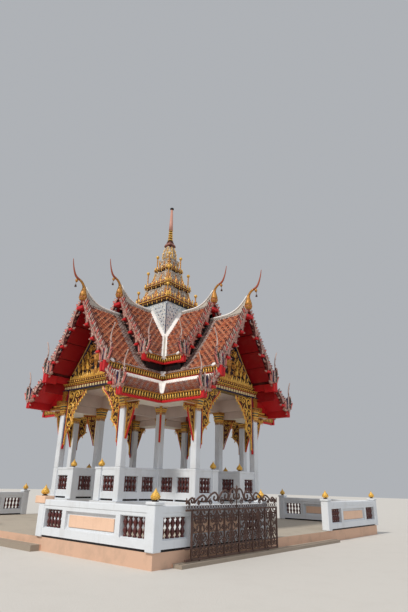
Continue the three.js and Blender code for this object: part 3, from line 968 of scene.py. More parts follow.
class Ornament:
    """Small carved motifs, each drawn once at unit size and stamped where it is needed."""

    @staticmethod
    @functools.cache
    def leaf(finish: Finish, tint: Shade = Shade.PLAIN, lean: float = 0.0, levels: int = 4) -> Draft:
        """Pointed leaf, one wide and two high, with a raised rib.

        Args:
            finish: Finish of the leaf.
            tint: Tint of its faces.
            lean: How far its point leans over.
            levels: Number of stretches up the leaf.

        Returns:
            The motif.
        """
        draft = Draft(finish, tint)
        shape = [(0.0, 0.34), (0.3, 0.5), (0.55, 0.4), (0.8, 0.18)]
        rings: list[Ring] = []
        for t in np.linspace(0, 0.85, levels):
            half = float(np.interp(t, [s[0] for s in shape], [s[1] for s in shape]))
            x, y = lean * t**2, 2 * t
            rings.append([(x - half, y, 0), (x - half, y, 0.1), (x, y, 0.34), (x + half, y, 0.1),
                          (x + half, y, 0)])
        draft.skin([*rings, [(lean, 2.0, 0.06)]])
        return draft

    @staticmethod
    @functools.cache
    def scroll(finish: Finish) -> Draft:
        """Curled tendril of unit radius with a stem, three side leaves and an eye.

        Args:
            finish: Finish of the tendril.

        Returns:
            The motif, with its stem starting at (-1, -1.2).
        """
        draft = Draft(finish)
        stem = curve([(-1.0, -1.25), (-1.05, -0.6), (-1.0, 0.0)], 3)[:-1]
        path = [*stem, *spiral(1.0, 180, -1.25, 13)]
        draft.strip(path, taper(len(path), 0.26, 0.16, 0.34), 0.3)
        eye = [(0.26 * math.cos(a), 0.26 * math.sin(a)) for a in np.linspace(0, math.tau, 7)[:-1]]
        draft.plate(eye, 0, 0.34)
        for angle, x, y, size in ((60, -0.7, 0.85, 0.42), (-10, 0.65, 0.95, 0.42), (-80, 1.1, 0.0, 0.36)):
            draft.stamp(Ornament.leaf(finish, levels=3), flat_place(x, y, angle, size))
        return draft

    @staticmethod
    @functools.cache
    def flame(finish: Finish) -> Draft:
        """Flame leaf, one wide and two and a half high, with two curling side tongues.

        Args:
            finish: Finish of the flame.

        Returns:
            The motif.
        """
        draft = Draft(finish)
        leaf = Ornament.leaf(finish, levels=3)
        draft.stamp(leaf, flat_place(0, 0, 0, 1.0) @ sized(0.8, 1.25, 1))
        draft.stamp(leaf, flat_place(-0.25, 0.05, 24, 0.62))
        draft.stamp(leaf, flat_place(0.25, 0.05, -24, 0.62))
        return draft

    @staticmethod
    @functools.cache
    def baluster(height: float) -> Draft:
        """Turned clay baluster with two bellies and square ends.

        Args:
            height: Full height.

        Returns:
            The motif, standing on the origin.
        """
        radius = 0.062
        draft = Draft(CLAY, smooth=True)
        shape = [(0.75, 0.0), (0.8, 0.08), (0.45, 0.12), (0.6, 0.17), (1.0, 0.3), (0.62, 0.44), (0.42, 0.5),
                 (0.62, 0.56), (1.0, 0.7), (0.6, 0.83), (0.45, 0.88), (0.8, 0.92), (0.75, 1.0)]
        draft.lathe([(radius * r, height * z) for r, z in shape], 0, 0, 8)
        return draft

    @staticmethod
    @functools.cache
    def bud() -> Draft:
        """Gilded lotus bud 0.3 m high on a dark foot, with two rows of petals.

        Returns:
            The motif, standing on the origin.
        """
        draft = Draft(ENAMEL, Shade.BRONZE, smooth=True)
        draft.lathe([(0.075, 0.0), (0.08, 0.015), (0.045, 0.03), (0.05, 0.05), (0.0, 0.05)], 0, 0, 12)
        draft.use(GILT, smooth=True)
        draft.lathe([(0.06, 0.045), (0.1, 0.085), (0.108, 0.12), (0.085, 0.165), (0.045, 0.205),
                     (0.018, 0.25), (0.0, 0.3)], 0, 0, 12)
        petal = Ornament.leaf(GILT, levels=3)
        for row, (foot, reach, tilt) in enumerate(((0.045, 0.065, 28), (0.065, 0.1, -10))):
            for i in range(8):
                place = Matrix.Rotation(math.tau * (i + row / 2) / 8, 4, "Z") @ moved(0, -reach, foot)
                lie = Matrix.Rotation(math.radians(tilt), 4, "X") @ facing((0, 0, 0), SOUTH)
                draft.stamp(petal, place @ lie @ Matrix.Scale(0.045, 4))
        return draft


@dataclass(frozen=True)
class Slope:
    """Section of a tiled slope.

    Attributes:
        inner: Distance of its top edge from the arm's middle line.
        outer: Distance of its eave.
        top: Height of its top edge.
        drop: How far it falls to the eave.
        sag: How hollow it is.
    """

    inner: float
    outer: float
    top: float
    drop: float
    sag: float

    def height(self, d: float) -> float:
        """Returns the height of the slope at a distance from the middle line."""
        t = (d - self.inner) / (self.outer - self.inner)
        return self.top - self.drop * (t + self.sag * t * (1 - t))

    def normal(self, d: float) -> Point2:
        """Finds the upward normal.

        Args:
            d: Distance from the middle line.

        Returns:
            Its parts outwards and up.
        """
        step = 0.01
        grade = (self.height(d + step) - self.height(d - step)) / (2 * step)
        run = math.hypot(grade, 1)
        return (-grade / run, 1 / run)

    def at(self, d: float, lift: float) -> Point2:
        """Returns the point that lies a lift above the slope, as distance and height."""
        out, up = self.normal(d)
        return (d + out * lift, self.height(d) + up * lift)

    @functools.cache
    def stations(self) -> tuple[np.ndarray, np.ndarray]:
        """Measures the slope.

        Returns:
            Lengths down the slope, and the distances that they reach.
        """
        reach = np.linspace(self.inner, self.outer, 60)
        heights = np.array([self.height(float(d)) for d in reach])
        lengths = np.concatenate([[0], np.cumsum(np.hypot(np.diff(reach), np.diff(heights)))])
        return lengths, reach


def gabled(ridge: float) -> Slope:
    """Section of a gabled tier's slope, which falls 2.56 m to its eave, a little hollow."""
    return Slope(0.0, EAVE_REACH, ridge, 2.56, 0.2)


@dataclass
class TileField:
    """Diamond-laid roof tiles on one slope, right of the arm's middle line.

    Attributes:
        slope: Section of the slope.
        end: How far the tiles run out from the crossing.
        seed: Seed of the kiln colours.
        kiln: Tints of the lighter slanting stripes.
        dark: Tints of the darker ones.
        hidden: Distance below which the tier above hides the tiles.
        hidden_end: How far out the tier above reaches.
        band: Width of the greyed border.
        joint: Depth of the shaded joint below a tile.
        width: Width of a tile from corner to corner.
        course: Half its height.
        lifts: How far its head, sides and foot stand off the slope.
    """

    slope: Slope
    end: float
    seed: int
    kiln: tuple[Shade, ...]
    dark: tuple[Shade, ...] = (Shade.BRICK, Shade.BRICK, Shade.TERRACOTTA, Shade.UMBER)
    hidden: float = 0.0
    hidden_end: float = 0.0
    band: float = 0.2
    # A tile is 15 mm thick; on the steep slopes its edge is drawn 20 mm deep so that the joints show
    joint: float = 0.02
    # The real tiles are finer; they are drawn 130 mm wide so that single ones show
    width: float = 0.13
    course: float = 0.068
    lifts: Point3 = (0.006, 0.024, 0.042)

    def tint(self, chance: random.Random, edge: float, stripe: int) -> Shade:
        """Draws the colour of one tile.

        Args:
            chance: Source of the draw.
            edge: Distance to the nearest edge of the field.
            stripe: Number of the slanting stripe that it lies in; every second one is darker.

        Returns:
            Its tint.
        """
        if edge < self.band:
            return chance.choice((Shade.ASH, Shade.ASH, Shade.MAUVE))
        return chance.choice(self.kiln if stripe % 2 else self.dark)

    def lay(self, draft: Draft) -> None:
        """Lays the tiles into a draft.

        Args:
            draft: Takes the faces.
        """
        chance = random.Random(self.seed)
        lengths, reach = self.slope.stations()
        total = float(lengths[-1])
        for row in range(-1, int(total / self.course) + 1):
            s = row * self.course
            middle = float(np.interp(s + self.course, lengths, reach))
            first = middle if middle > self.hidden else max(middle, self.hidden_end - 0.1)
            near = self.hidden_end + 0.1 if self.hidden else middle
            for column in range(int((self.end - first) / self.width) + 2):
                u = self.end - (column + 0.5 * (row % 2)) * self.width
                if u < first - self.width / 2:
                    continue
                edge = min(u - near, self.end - u, total - s, s + self.course)
                self.tile(draft, self.tint(chance, edge, (2 * column + row % 2 + row) // 2), s, u)

    def tile(self, draft: Draft, tint: Shade, s: float, u: float) -> None:
        """Adds one tile: its showing diamond and the joint under its two lower edges, one edge pale as a
        painted highlight and the other dark as painted shade.

        Args:
            draft: Takes the faces.
            tint: Its tint.
            s: Length down the slope of its top corner.
            u: Its place along the arm.
        """
        lengths, reach = self.slope.stations()
        half, side = self.width / 2, s + self.course
        head, flank, foot = self.lifts
        spots = ((s, u, head), (side, u - half, flank), (s + 2 * self.course, u, foot),
                 (side, u + half, flank))
        corners: Ring = []
        for down, along, lift in [*spots, *((a, b, c - self.joint) for a, b, c in spots[1:])]:
            d = float(np.interp(min(max(down, 0), lengths[-1]), lengths, reach))
            x, z = self.slope.at(d, lift)
            corners.append((x, -min(max(along, d), self.end), z))
        draft.use(TILES, tint).surface(corners[:4], [(0, 1, 2, 3)])
        # One lower edge takes a painted highlight and the other painted shade
        for shade, edge in ((Shade.LIT_EDGE, (1, 4, 5, 2)), (Shade.SHADED_EDGE, (2, 5, 6, 3))):
            draft.use(TILES, shade).surface([corners[i] for i in edge], [(0, 1, 2, 3)])


@dataclass
class Eave:
    """Gilded fascia with hanging petals over a red board, along the right side of an arm.

    Attributes:
        face: Distance of the fascia's face from the arm's middle line.
        top: Height of its top.
        bottom: Height of the red board's foot.
        start: Where it starts, out from the crossing.
        end: Where it ends.
        pitch: Least distance between two leaves.
    """

    face: float
    top: float
    bottom: float
    start: float
    end: float
    pitch: float = 0.115

    def draw(self, draft: Draft) -> None:
        """Draws the fascia into a draft.

        Args:
            draft: Takes the faces.
        """
        face, a, b = self.face, -self.end, -self.start
        tall = self.top - self.bottom
        split = self.bottom + tall * 0.38
        draft.paint(Shade.RED).box((face - 0.1, a, self.bottom), (face - 0.05, b, self.top - 0.02))
        draft.box((face - 0.05, a, self.bottom), (face, b, self.bottom + tall * 0.26))
        # The maroon strip over the red board is painted shadow of the gilt frieze above it
        draft.paint(Shade.MAROON)
        draft.box((face - 0.05, a, self.bottom + tall * 0.2), (face - 0.02, b, split + 0.02))
        draft.paint(Shade.BRONZE).box((face - 0.05, a, split), (face, b, self.top))
        draft.use(GOLD).box((face - 0.05, a, self.top - 0.03), (face + 0.022, b, self.top + 0.012), 0.008)
        draft.box((face - 0.03, a, split - 0.01), (face + 0.014, b, split + 0.014), 0.006)
        count = int((self.end - self.start) / self.pitch)
        upright, hanging = Ornament.leaf(GILT, lean=0.2, levels=3), Ornament.leaf(GILT, levels=2)
        for i in range(count):
            y = b - (i + 0.5) * (self.end - self.start) / count
            stand = facing((face, y, split + 0.012), EAST)
            draft.stamp(upright, stand @ sized(0.062, tall * 0.25, 0.09))
            hang = facing((face - 0.018, y, split), (0, -1, 0), (0, 0, -1))
            draft.stamp(hanging, hang @ sized(0.05, tall * 0.09, 0.06))


@dataclass
class RoofArm:
    """One arm of a gabled roof tier: tiles, fascias, ridge cap, valleys and stepped soffit.

    Attributes:
        tier: Which tier it belongs to.
        ridge: Height of the ridge.
        end: How far the arm reaches from the crossing.
        gable: Where the wall below its gable stands.
        hidden: Distance below which the tier above hides the tiles.
        hidden_end: How far out the tier above reaches.
        half: Half the width over the eaves.
        board: Height of the fascia.
        depth: Thickness of the boarding.
        kiln: Tints of the lighter slanting stripes of its tiles.
    """

    tier: Tier
    ridge: float
    end: float
    gable: float
    hidden: float = 0.0
    hidden_end: float = 0.0
    half: float = EAVE_REACH
    board: float = 0.28
    depth: float = 0.1
    kiln: tuple[Shade, ...] = (Shade.EMBER, Shade.EMBER, Shade.TERRACOTTA, Shade.EMBER)

    @property
    def slope(self) -> Slope:
        """Section of the slope."""
        return gabled(self.ridge)

    def side(self, seed: int) -> Draft:
        """Draws everything that lies right of the ridge.

        Args:
            seed: Seed of the kiln colours.

        Returns:
            The draft.
        """
        slope = self.slope
        draft = Draft(TILES)
        above = {"hidden": self.hidden, "hidden_end": self.hidden_end}
        TileField(slope, self.end, seed, self.kiln, **above).lay(draft)
        self.shell(draft)
        eave = slope.height(self.half)
        Eave(self.half, eave, eave - self.board, self.half, self.end).draw(draft)
        self.soffit(draft)
        self.valley(draft)
        return draft

    def shell(self, draft: Draft) -> None:
        """Adds the boarding under the tiles, as a stack of strips down to the valley line.

        Args:
            draft: Takes the faces.
        """
        slope = self.slope
        reach = np.linspace(0.0, self.half - 0.03, 9)
        for inner, outer in pairwise(float(d) for d in reach):
            (x0, z0), (x1, z1) = slope.at(inner, -0.01), slope.at(outer, -0.01)
            (p0, q0), (p1, q1) = slope.at(inner, -self.depth), slope.at(outer, -self.depth)
            ends = ((-self.end, -self.end), (-max(inner, 0.05), -outer))
            rings = [[(x0, y0, z0), (x1, y1, z1), (p1, y1, q1), (p0, y0, q0)] for y0, y1 in ends]
            draft.paint(Shade.MAROON).skin(rings)

    def soffit(self, draft: Draft) -> None:
        """Adds the wide red boards under the overhang of the gable, with dark joints between them.

        Args:
            draft: Takes the faces.
        """
        slope = self.slope
        reach = np.linspace(0.1, self.half - 0.1, 5)
        for inner, outer in pairwise(float(d) for d in reach):
            # Each board tips a little, so that its lower edge stands below the next one
            (x0, z0), (x1, z1) = slope.at(inner, -self.depth), slope.at(outer - 0.02, -self.depth)
            p0, q0 = slope.at(inner, -self.depth - 0.02)
            p1, q1 = slope.at(outer - 0.02, -self.depth - 0.045)
            draft.paint(Shade.CRIMSON)
            draft.skin([[(x0, y, z0), (x1, y, z1), (p1, y, q1), (p0, y, q0)]
                        for y in (-self.end + 0.01, -self.gable)])

    def valley(self, draft: Draft) -> None:
        """Adds half of the white cement fillet along the valley, and the one at the foot of the neck.

        Args:
            draft: Takes the faces.
        """
        slope = self.slope
        first = 0.9 if self.tier is Tier.UPPER else 1.55
        rings: list[Ring] = []
        for d in np.linspace(first, self.half, 7):
            x, z = slope.at(float(d), 0.05)
            rings.append([(x, -x, z - 0.09), (x, -x, z), (x - 0.02, -x - 0.11, z),
                          (x - 0.05, -x - 0.15, z - 0.1)])
        draft.use(CEMENT).skin(rings)
        if self.tier is Tier.UPPER:
            # A grey gutter strip runs up the middle of the valley, and a fillet closes the foot of the neck
            draft.use(SHADED_WEATHERED_CEMENT)
            draft.skin([[(x, y, z - 0.05), (x, y, z + 0.101), (x - 0.01, y - 0.04, z + 0.101),
                         (x - 0.01, y - 0.04, z - 0.05)] for (x, y, z), *_ in rings])
            foot = [slope.at(float(d), 0.0) for d in np.linspace(0.02, 0.93, 6)]
            draft.use(CEMENT).skin([
                [(x, -0.89, z - 0.08), (x, -0.89, z + 0.2), (x, -0.94, z + 0.2), (x, -1.05, z + 0.06),
                 (x, -1.05, z - 0.08)] for x, z in foot
            ])

    def cap(self, draft: Draft) -> None:
        """Adds the ridge cap, which sweeps up behind the horn; its sides are darker grey cement as painted
        shade under a white crest.

        Args:
            draft: Takes the faces.
        """
        face: list[Ring] = []
        crest: list[Ring] = []
        inner = 0.88 if self.tier is Tier.UPPER else self.hidden_end - 0.15
        outer = self.end + 0.02
        for u in [*np.linspace(inner, outer - 1.2, 4), *np.linspace(outer - 1.05, outer, 9)]:
            t = max(0.0, 1 - (outer - float(u)) / 1.2)
            rise = 0.075 + 0.58 * t**2.6
            foot, crown = 0.08, 0.04 - 0.01 * t
            top = self.ridge + rise
            face.append([(-foot, -u, self.ridge - 0.14), (-foot, -u, self.ridge - 0.04),
                         (-crown, -u, top - 0.06), (crown, -u, top - 0.06), (foot, -u, self.ridge - 0.04),
                         (foot, -u, self.ridge - 0.14)])
            brow = crown + 0.03
            crest.append([(-brow, -u, top - 0.08), (-brow, -u, top - 0.02), (0, -u, top),
                          (brow, -u, top - 0.02), (brow, -u, top - 0.08)])
        for finish, rings in ((SHADED_WEATHERED_CEMENT, face), (CEMENT, crest)):
            draft.use(finish, smooth=True).skin([[tuple(map(float, p)) for p in ring] for ring in rings])

    def gap(self, draft: Draft) -> None:
        """Adds soot-black boards and a panel in the gap down to the tier below, as painted shade of the deep
        space under the eave.

        Args:
            draft: Takes the faces.
        """
        lower = gabled(MAIN_RIDGE)
        d = self.half - 0.08
        foot, head = lower.height(d) - 0.1, self.slope.height(self.half) - self.board + 0.1
        for side in (-1, 1):
            x0, x1 = sorted((side * (d - 0.03), side * d))
            draft.paint(Shade.SOOT).box((x0, -self.end + 0.12, foot), (x1, -d, head))
        outline = [self.slope.at(float(x), -0.1) for x in np.linspace(0, d, 6)]
        under = [(x, z - 0.75) for x, z in reversed(outline)]
        panel = Draft(ENAMEL, Shade.SOOT)
        panel.plate([*outline, *under], 0.0, 0.03)
        draft.stamp(panel.mirrored(), facing((0, -self.end + 0.14, 0), SOUTH))

    def lumps(self, draft: Draft) -> None:
        """Adds the white cement fillets at the outer ends of the eaves.

        Args:
            draft: Takes the faces.
        """
        eave = self.slope.height(self.half)
        for side in (-1, 1):
            rings: list[Ring] = []
            for t, size in ((0.0, 0.0), (0.06, 0.07), (0.16, 0.085), (0.26, 0.04), (0.34, 0.0)):
                y, x = -self.end + 0.36 - t, side * (self.half - 0.05)
                if size == 0:
                    rings.append([(x, y, eave + 0.04)])
                    continue
                rings.append([(x - size, y, eave), (x - size * 0.6, y, eave + size * 1.1),
                              (x, y, eave + size * 1.9), (x + size * 0.6, y, eave + size * 1.1),
                              (x + size, y, eave)])
            draft.use(CEMENT, smooth=True).skin(rings)

    def build(self) -> None:
        """Builds the four arms of the tier."""
        for turn, arm in enumerate(ARMS):
            draft = self.side(17 + turn).mirrored()
            self.cap(draft)
            self.lumps(draft)
            if self.tier is Tier.UPPER:
                self.gap(draft)
            node = f"{arm}_{self.tier.value}"
            draft.build(f"{node}_tiled_roof", "roof_tile", nodes=[f"{node}_roof"], turn=turn)


@dataclass
class GableTrim:
    """Mosaic bargeboard with painted flame leaves along one slope, drawn on the plane of the gable.

    Attributes:
        slope: Section of the slope that it follows.
        first: Distance where the board starts.
        last: Distance where it ends.
        leaves: Number of flame leaves.
        purlins: Distances of the red purlin ends.
        leaf_size: Width of a leaf.
        low: Lift of its lower edge at the head of each stretch.
        step: How much deeper the board is at the foot of the stretch.
        high: Lift of its upper edge.
    """

    slope: Slope
    first: float
    last: float
    leaves: int
    purlins: tuple[float, ...]
    leaf_size: float = 0.125
    low: float = 0.03
    step: float = 0.2
    high: float = 0.12

    def draw(self) -> Draft:
        """Draws the right-hand board.

        Returns:
            The drawing, with the board's face at zero depth.
        """
        draft = Draft(MOSAIC)
        self.board(draft)
        self.fringe(draft)
        return draft

    def board(self, draft: Draft) -> None:
        """Adds the board, deepest above each purlin end, with its rims and the purlin ends.

        Args:
            draft: Takes the faces.
        """
        marks = [self.first, *self.purlins, self.last]
        count = 9
        for start, stop in pairwise(marks):
            rings: list[Ring] = []
            lower: list[Point2] = []
            for t in np.linspace(0, 1, count):
                d = start + (stop - start) * float(t)
                x1, z1 = self.slope.at(d, self.high)
                x0, z0 = self.slope.at(d, self.low - self.step * float(t) ** 3)
                lower.append((x0, z0))
                rings.append([(x0, z0, -0.1), (x0, z0, 0.0), (x1, z1, 0.0), (x1, z1, -0.1)])
            draft.use(MOSAIC).skin(rings)
            draft.paint(Shade.WINE).strip(lower, [0.03] * count, 0.015, -0.09)
            # Small leaves hang along the lower edge, and a hook closes each stretch
            for k in range(2, count, 2):
                out, up = self.slope.normal(start + (stop - start) * k / count)
                lean = math.degrees(math.atan2(-out, up)) + 180 - 25
                tint, size = (Shade.UMBER, 0.085) if k % 4 else (Shade.MAUVE, 0.1)
                leaf = Ornament.leaf(ENAMEL, tint, 0.5, 3)
                draft.stamp(leaf, moved(0, 0, -0.05) @ flat_place(*lower[k], lean, size))
        for d in self.purlins:
            x, z = self.slope.at(d, self.low - 0.12)
            draft.paint(Shade.RED)
            draft.box((x - 0.08, z - 0.1, -0.16), (x + 0.11, z - 0.02, 0.035), 0.008)

    def fringe(self, draft: Draft) -> None:
        """Adds the row of flame leaves, each a dark backing with a pale rim and a red or green heart.

        Args:
            draft: Takes the faces.
        """
        rims = (Shade.ASH, Shade.PINK, Shade.ASH, Shade.MAUVE)
        for i in range(self.leaves):
            t = (i + 0.5) / self.leaves
            d = self.first + (self.last - self.first) * t
            x, z = self.slope.at(d, self.high - 0.03)
            out, up = self.slope.normal(d)
            tilt = math.degrees(math.atan2(-out, up)) * 0.66
            size = self.leaf_size * (1 + 0.12 * math.sin(i * 2.1))
            heart = Shade.GREEN if i % 3 == 1 else Shade.RED
            for tint, scale, lift in ((Shade.WINE, 1.02, -0.02), (rims[i % 4], 0.86, 0.01),
                                      (heart, 0.42, 0.035)):
                leaf = Ornament.leaf(ENAMEL, tint, 0.25, 4)
                draft.stamp(leaf, moved(0, 0, lift - 0.05) @ flat_place(x, z, tilt, size * scale))

    @staticmethod
    def finial(foot: Point2, rise: float) -> Draft:
        """Draws the fan of painted flames at the foot of a board, with one tall tongue.

        Args:
            foot: Where it stands.
            rise: Height of the tall tongue.

        Returns:
            The drawing.
        """
        x, z = foot
        draft = Draft(MOSAIC, smooth=True)
        base = curve([(x - 0.4, z + 0.02), (x - 0.16, z - 0.01), (x + 0.04, z + 0.03), (x + 0.1, z + 0.15),
                      (x + 0.02, z + 0.2)], 3)
        draft.strip(base, taper(len(base), 0.1, 0.05, 0.2), 0.06, -0.05)
        spine = [(0.0, 0.0), (0.12, 0.16), (0.17, 0.36), (0.09, 0.56), (0.11, 0.76), (0.25, 1.0)]
        path = curve([(x + a * rise / 1.3, z + b * rise) for a, b in spine], 3)
        cut = len(path) // 2
        widths = taper(len(path), 0.1, 0.012, 0.045)
        draft.paint(Shade.WINE)
        draft.strip(path[: cut + 1], [wide + 0.03 for wide in widths[: cut + 1]], 0.03, -0.05)
        draft.use(MOSAIC, smooth=True).strip(path[: cut + 1], widths[: cut + 1], 0.05, -0.06)
        draft.paint(Shade.ASH, smooth=True).strip(path[cut:], widths[cut:], 0.0, -0.045)
        tongues = ((-0.32, 0.3, 14, Shade.PINK), (-0.24, 0.36, 8, Shade.MAUVE), (-0.15, 0.44, 4, Shade.NAVY),
                   (-0.06, 0.52, 0, Shade.ASH), (0.04, 0.46, -8, Shade.GREEN), (0.12, 0.34, -24, Shade.PINK))
        for offset, tall, tilt, tint in tongues:
            turned = moved(x + offset, z + 0.05, 0) @ Matrix.Rotation(math.radians(tilt), 4, "Z")
            for shade, wide, lift in ((Shade.WINE, 0.115, -0.02), (tint, 0.075, 0.02)):
                leaf = Ornament.leaf(ENAMEL, shade, 0.4, 4)
                draft.stamp(leaf, turned @ moved(0, 0, lift) @ sized(wide, tall / 2, 0.12))
        for t, angle, tint in ((0.22, 60, Shade.ASH), (0.32, -60, Shade.PINK), (0.45, -50, Shade.ASH),
                               (0.6, 58, Shade.MAUVE), (0.75, -45, Shade.MAUVE)):
            px, pz = path[int(t * len(path))]
            draft.stamp(Ornament.leaf(ENAMEL, tint, 0.4, 3), flat_place(px, pz, angle, 0.09 * (1.1 - t)))
        return draft


@dataclass
class Gable:
    """Bargeboards, finials, eave blocks and ridge horn of one roof tier, at its four gables.

    Attributes:
        arm: Roof arm that they close.
    """

    arm: RoofArm

    def horn(self, draft: Draft) -> None:
        """Adds the ridge horn: a gilded bulb, a slim curved horn, and the small bell that hangs from it.

        Args:
            draft: Takes the faces.
        """
        ridge, foot = self.arm.ridge, self.arm.end + 0.08
        bulb = [(0.05, -0.05), (0.07, 0.04), (0.12, 0.12), (0.145, 0.2), (0.14, 0.3), (0.1, 0.44),
                (0.06, 0.58), (0.045, 0.66)]
        draft.paint(Shade.BRICK, smooth=True).lathe([(r, ridge + z) for r, z in bulb[:4]], 0, -foot, 12)
        draft.use(GOLD, smooth=True).lathe([(r, ridge + z) for r, z in bulb[3:]], 0, -foot, 12)
        petal = Ornament.leaf(GOLD, levels=3)
        for i in range(8):
            place = moved(0, -foot, ridge + 0.06) @ Matrix.Rotation(math.tau * i / 8, 4, "Z")
            lie = moved(0, -0.085, 0) @ Matrix.Rotation(math.radians(18), 4, "X") @ facing((0, 0, 0), SOUTH)
            draft.stamp(petal, place @ lie @ Matrix.Scale(0.09, 4))
        spine = [(0.02, 0.58), (0.05, 0.69), (0.16, 0.8), (0.3, 0.86), (0.42, 0.93), (0.5, 1.06),
                 (0.56, 1.22), (0.61, 1.42), (0.64, 1.6)]
        path = curve([(0.0, -foot - a, ridge + b) for a, b in spine], 3)
        radii = taper(len(path), 0.056, 0.012, 0.046)
        cut = len(path) // 3
        draft.use(GOLD, smooth=True).sweep(path[: cut + 1], radii[: cut + 1], 8, 0.8)
        draft.paint(Shade.BRICK, smooth=True).sweep(path[cut:], radii[cut:], 8, 0.8)
        y, z = -foot - 0.37, ridge + 0.77
        knob = [(0.0, z - 0.09), (0.05, z - 0.04), (0.055, z + 0.02), (0.02, z + 0.07), (0.0, z + 0.09)]
        draft.use(GOLD, smooth=True).lathe(knob, 0, y, 8)
        y, z = y - 0.02, z - 0.1
        bell = [(0.008, z + 0.03), (0.008, z - 0.07), (0.03, z - 0.09), (0.045, z - 0.17), (0.0, z - 0.17)]
        draft.use(IRON, smooth=True).lathe(bell, 0, y, 8)

    def blocks(self, draft: Draft) -> None:
        """Adds the paired red end blocks of the eaves and the red apex block.

        Args:
            draft: Takes the faces.
        """
        arm = self.arm
        eave, upper = arm.slope.height(arm.half), arm.tier is Tier.UPPER
        pairs = ((1.68, 1.75), (1.77, 1.83)) if upper else ((1.6, 1.71), (1.74, 1.85))
        deep, tall = (0.12, 0.3) if upper else (0.17, 0.37)
        draft.paint(Shade.MAROON)
        for side in (-1, 1):
            a, b = sorted((side * (pairs[0][0] + 0.02), side * (pairs[1][1] - 0.02)))
            draft.box((a, -arm.end - deep + 0.03, eave - tall + 0.02), (b, -arm.end + 0.02, eave - 0.02))
        draft.paint(Shade.RED)
        for side, (x0, x1) in product((-1, 1), pairs):
            a, b = sorted((side * x0, side * x1))
            # The inner block runs back under the tiles
            inward, sunk = (0.3, 0.06) if x0 == pairs[0][0] else (0.02, 0.0)
            draft.box((a, -arm.end - deep, eave - tall), (b, -arm.end + inward, eave - sunk), 0.012)
        top = arm.ridge - 0.2
        draft.box((-0.18, -arm.end - 0.19, top - 0.12), (0.18, -arm.end + 0.03, top), 0.012)

    def build(self) -> None:
        """Builds the trim of the four gables."""
        arm = self.arm
        eave = arm.slope.height(arm.half)
        board = GableTrim(arm.slope, 0.03, arm.half + 0.02, 25, (0.56, 0.98, 1.4)).draw()
        board.stamp(GableTrim.finial((arm.half + 0.02, eave - 0.02), 1.34), moved(0, 0, -0.04))
        both = board.mirrored()
        for turn, name in enumerate(ARMS):
            draft = Draft(MOSAIC)
            draft.stamp(both, facing((0, -arm.end - 0.11, 0), SOUTH))
            self.blocks(draft)
            self.horn(draft)
            node = f"{name}_{arm.tier.value}"
            draft.build(f"{node}_gable_trim", "gable_mosaic", nodes=[f"{node}_bargeboards"], turn=turn)


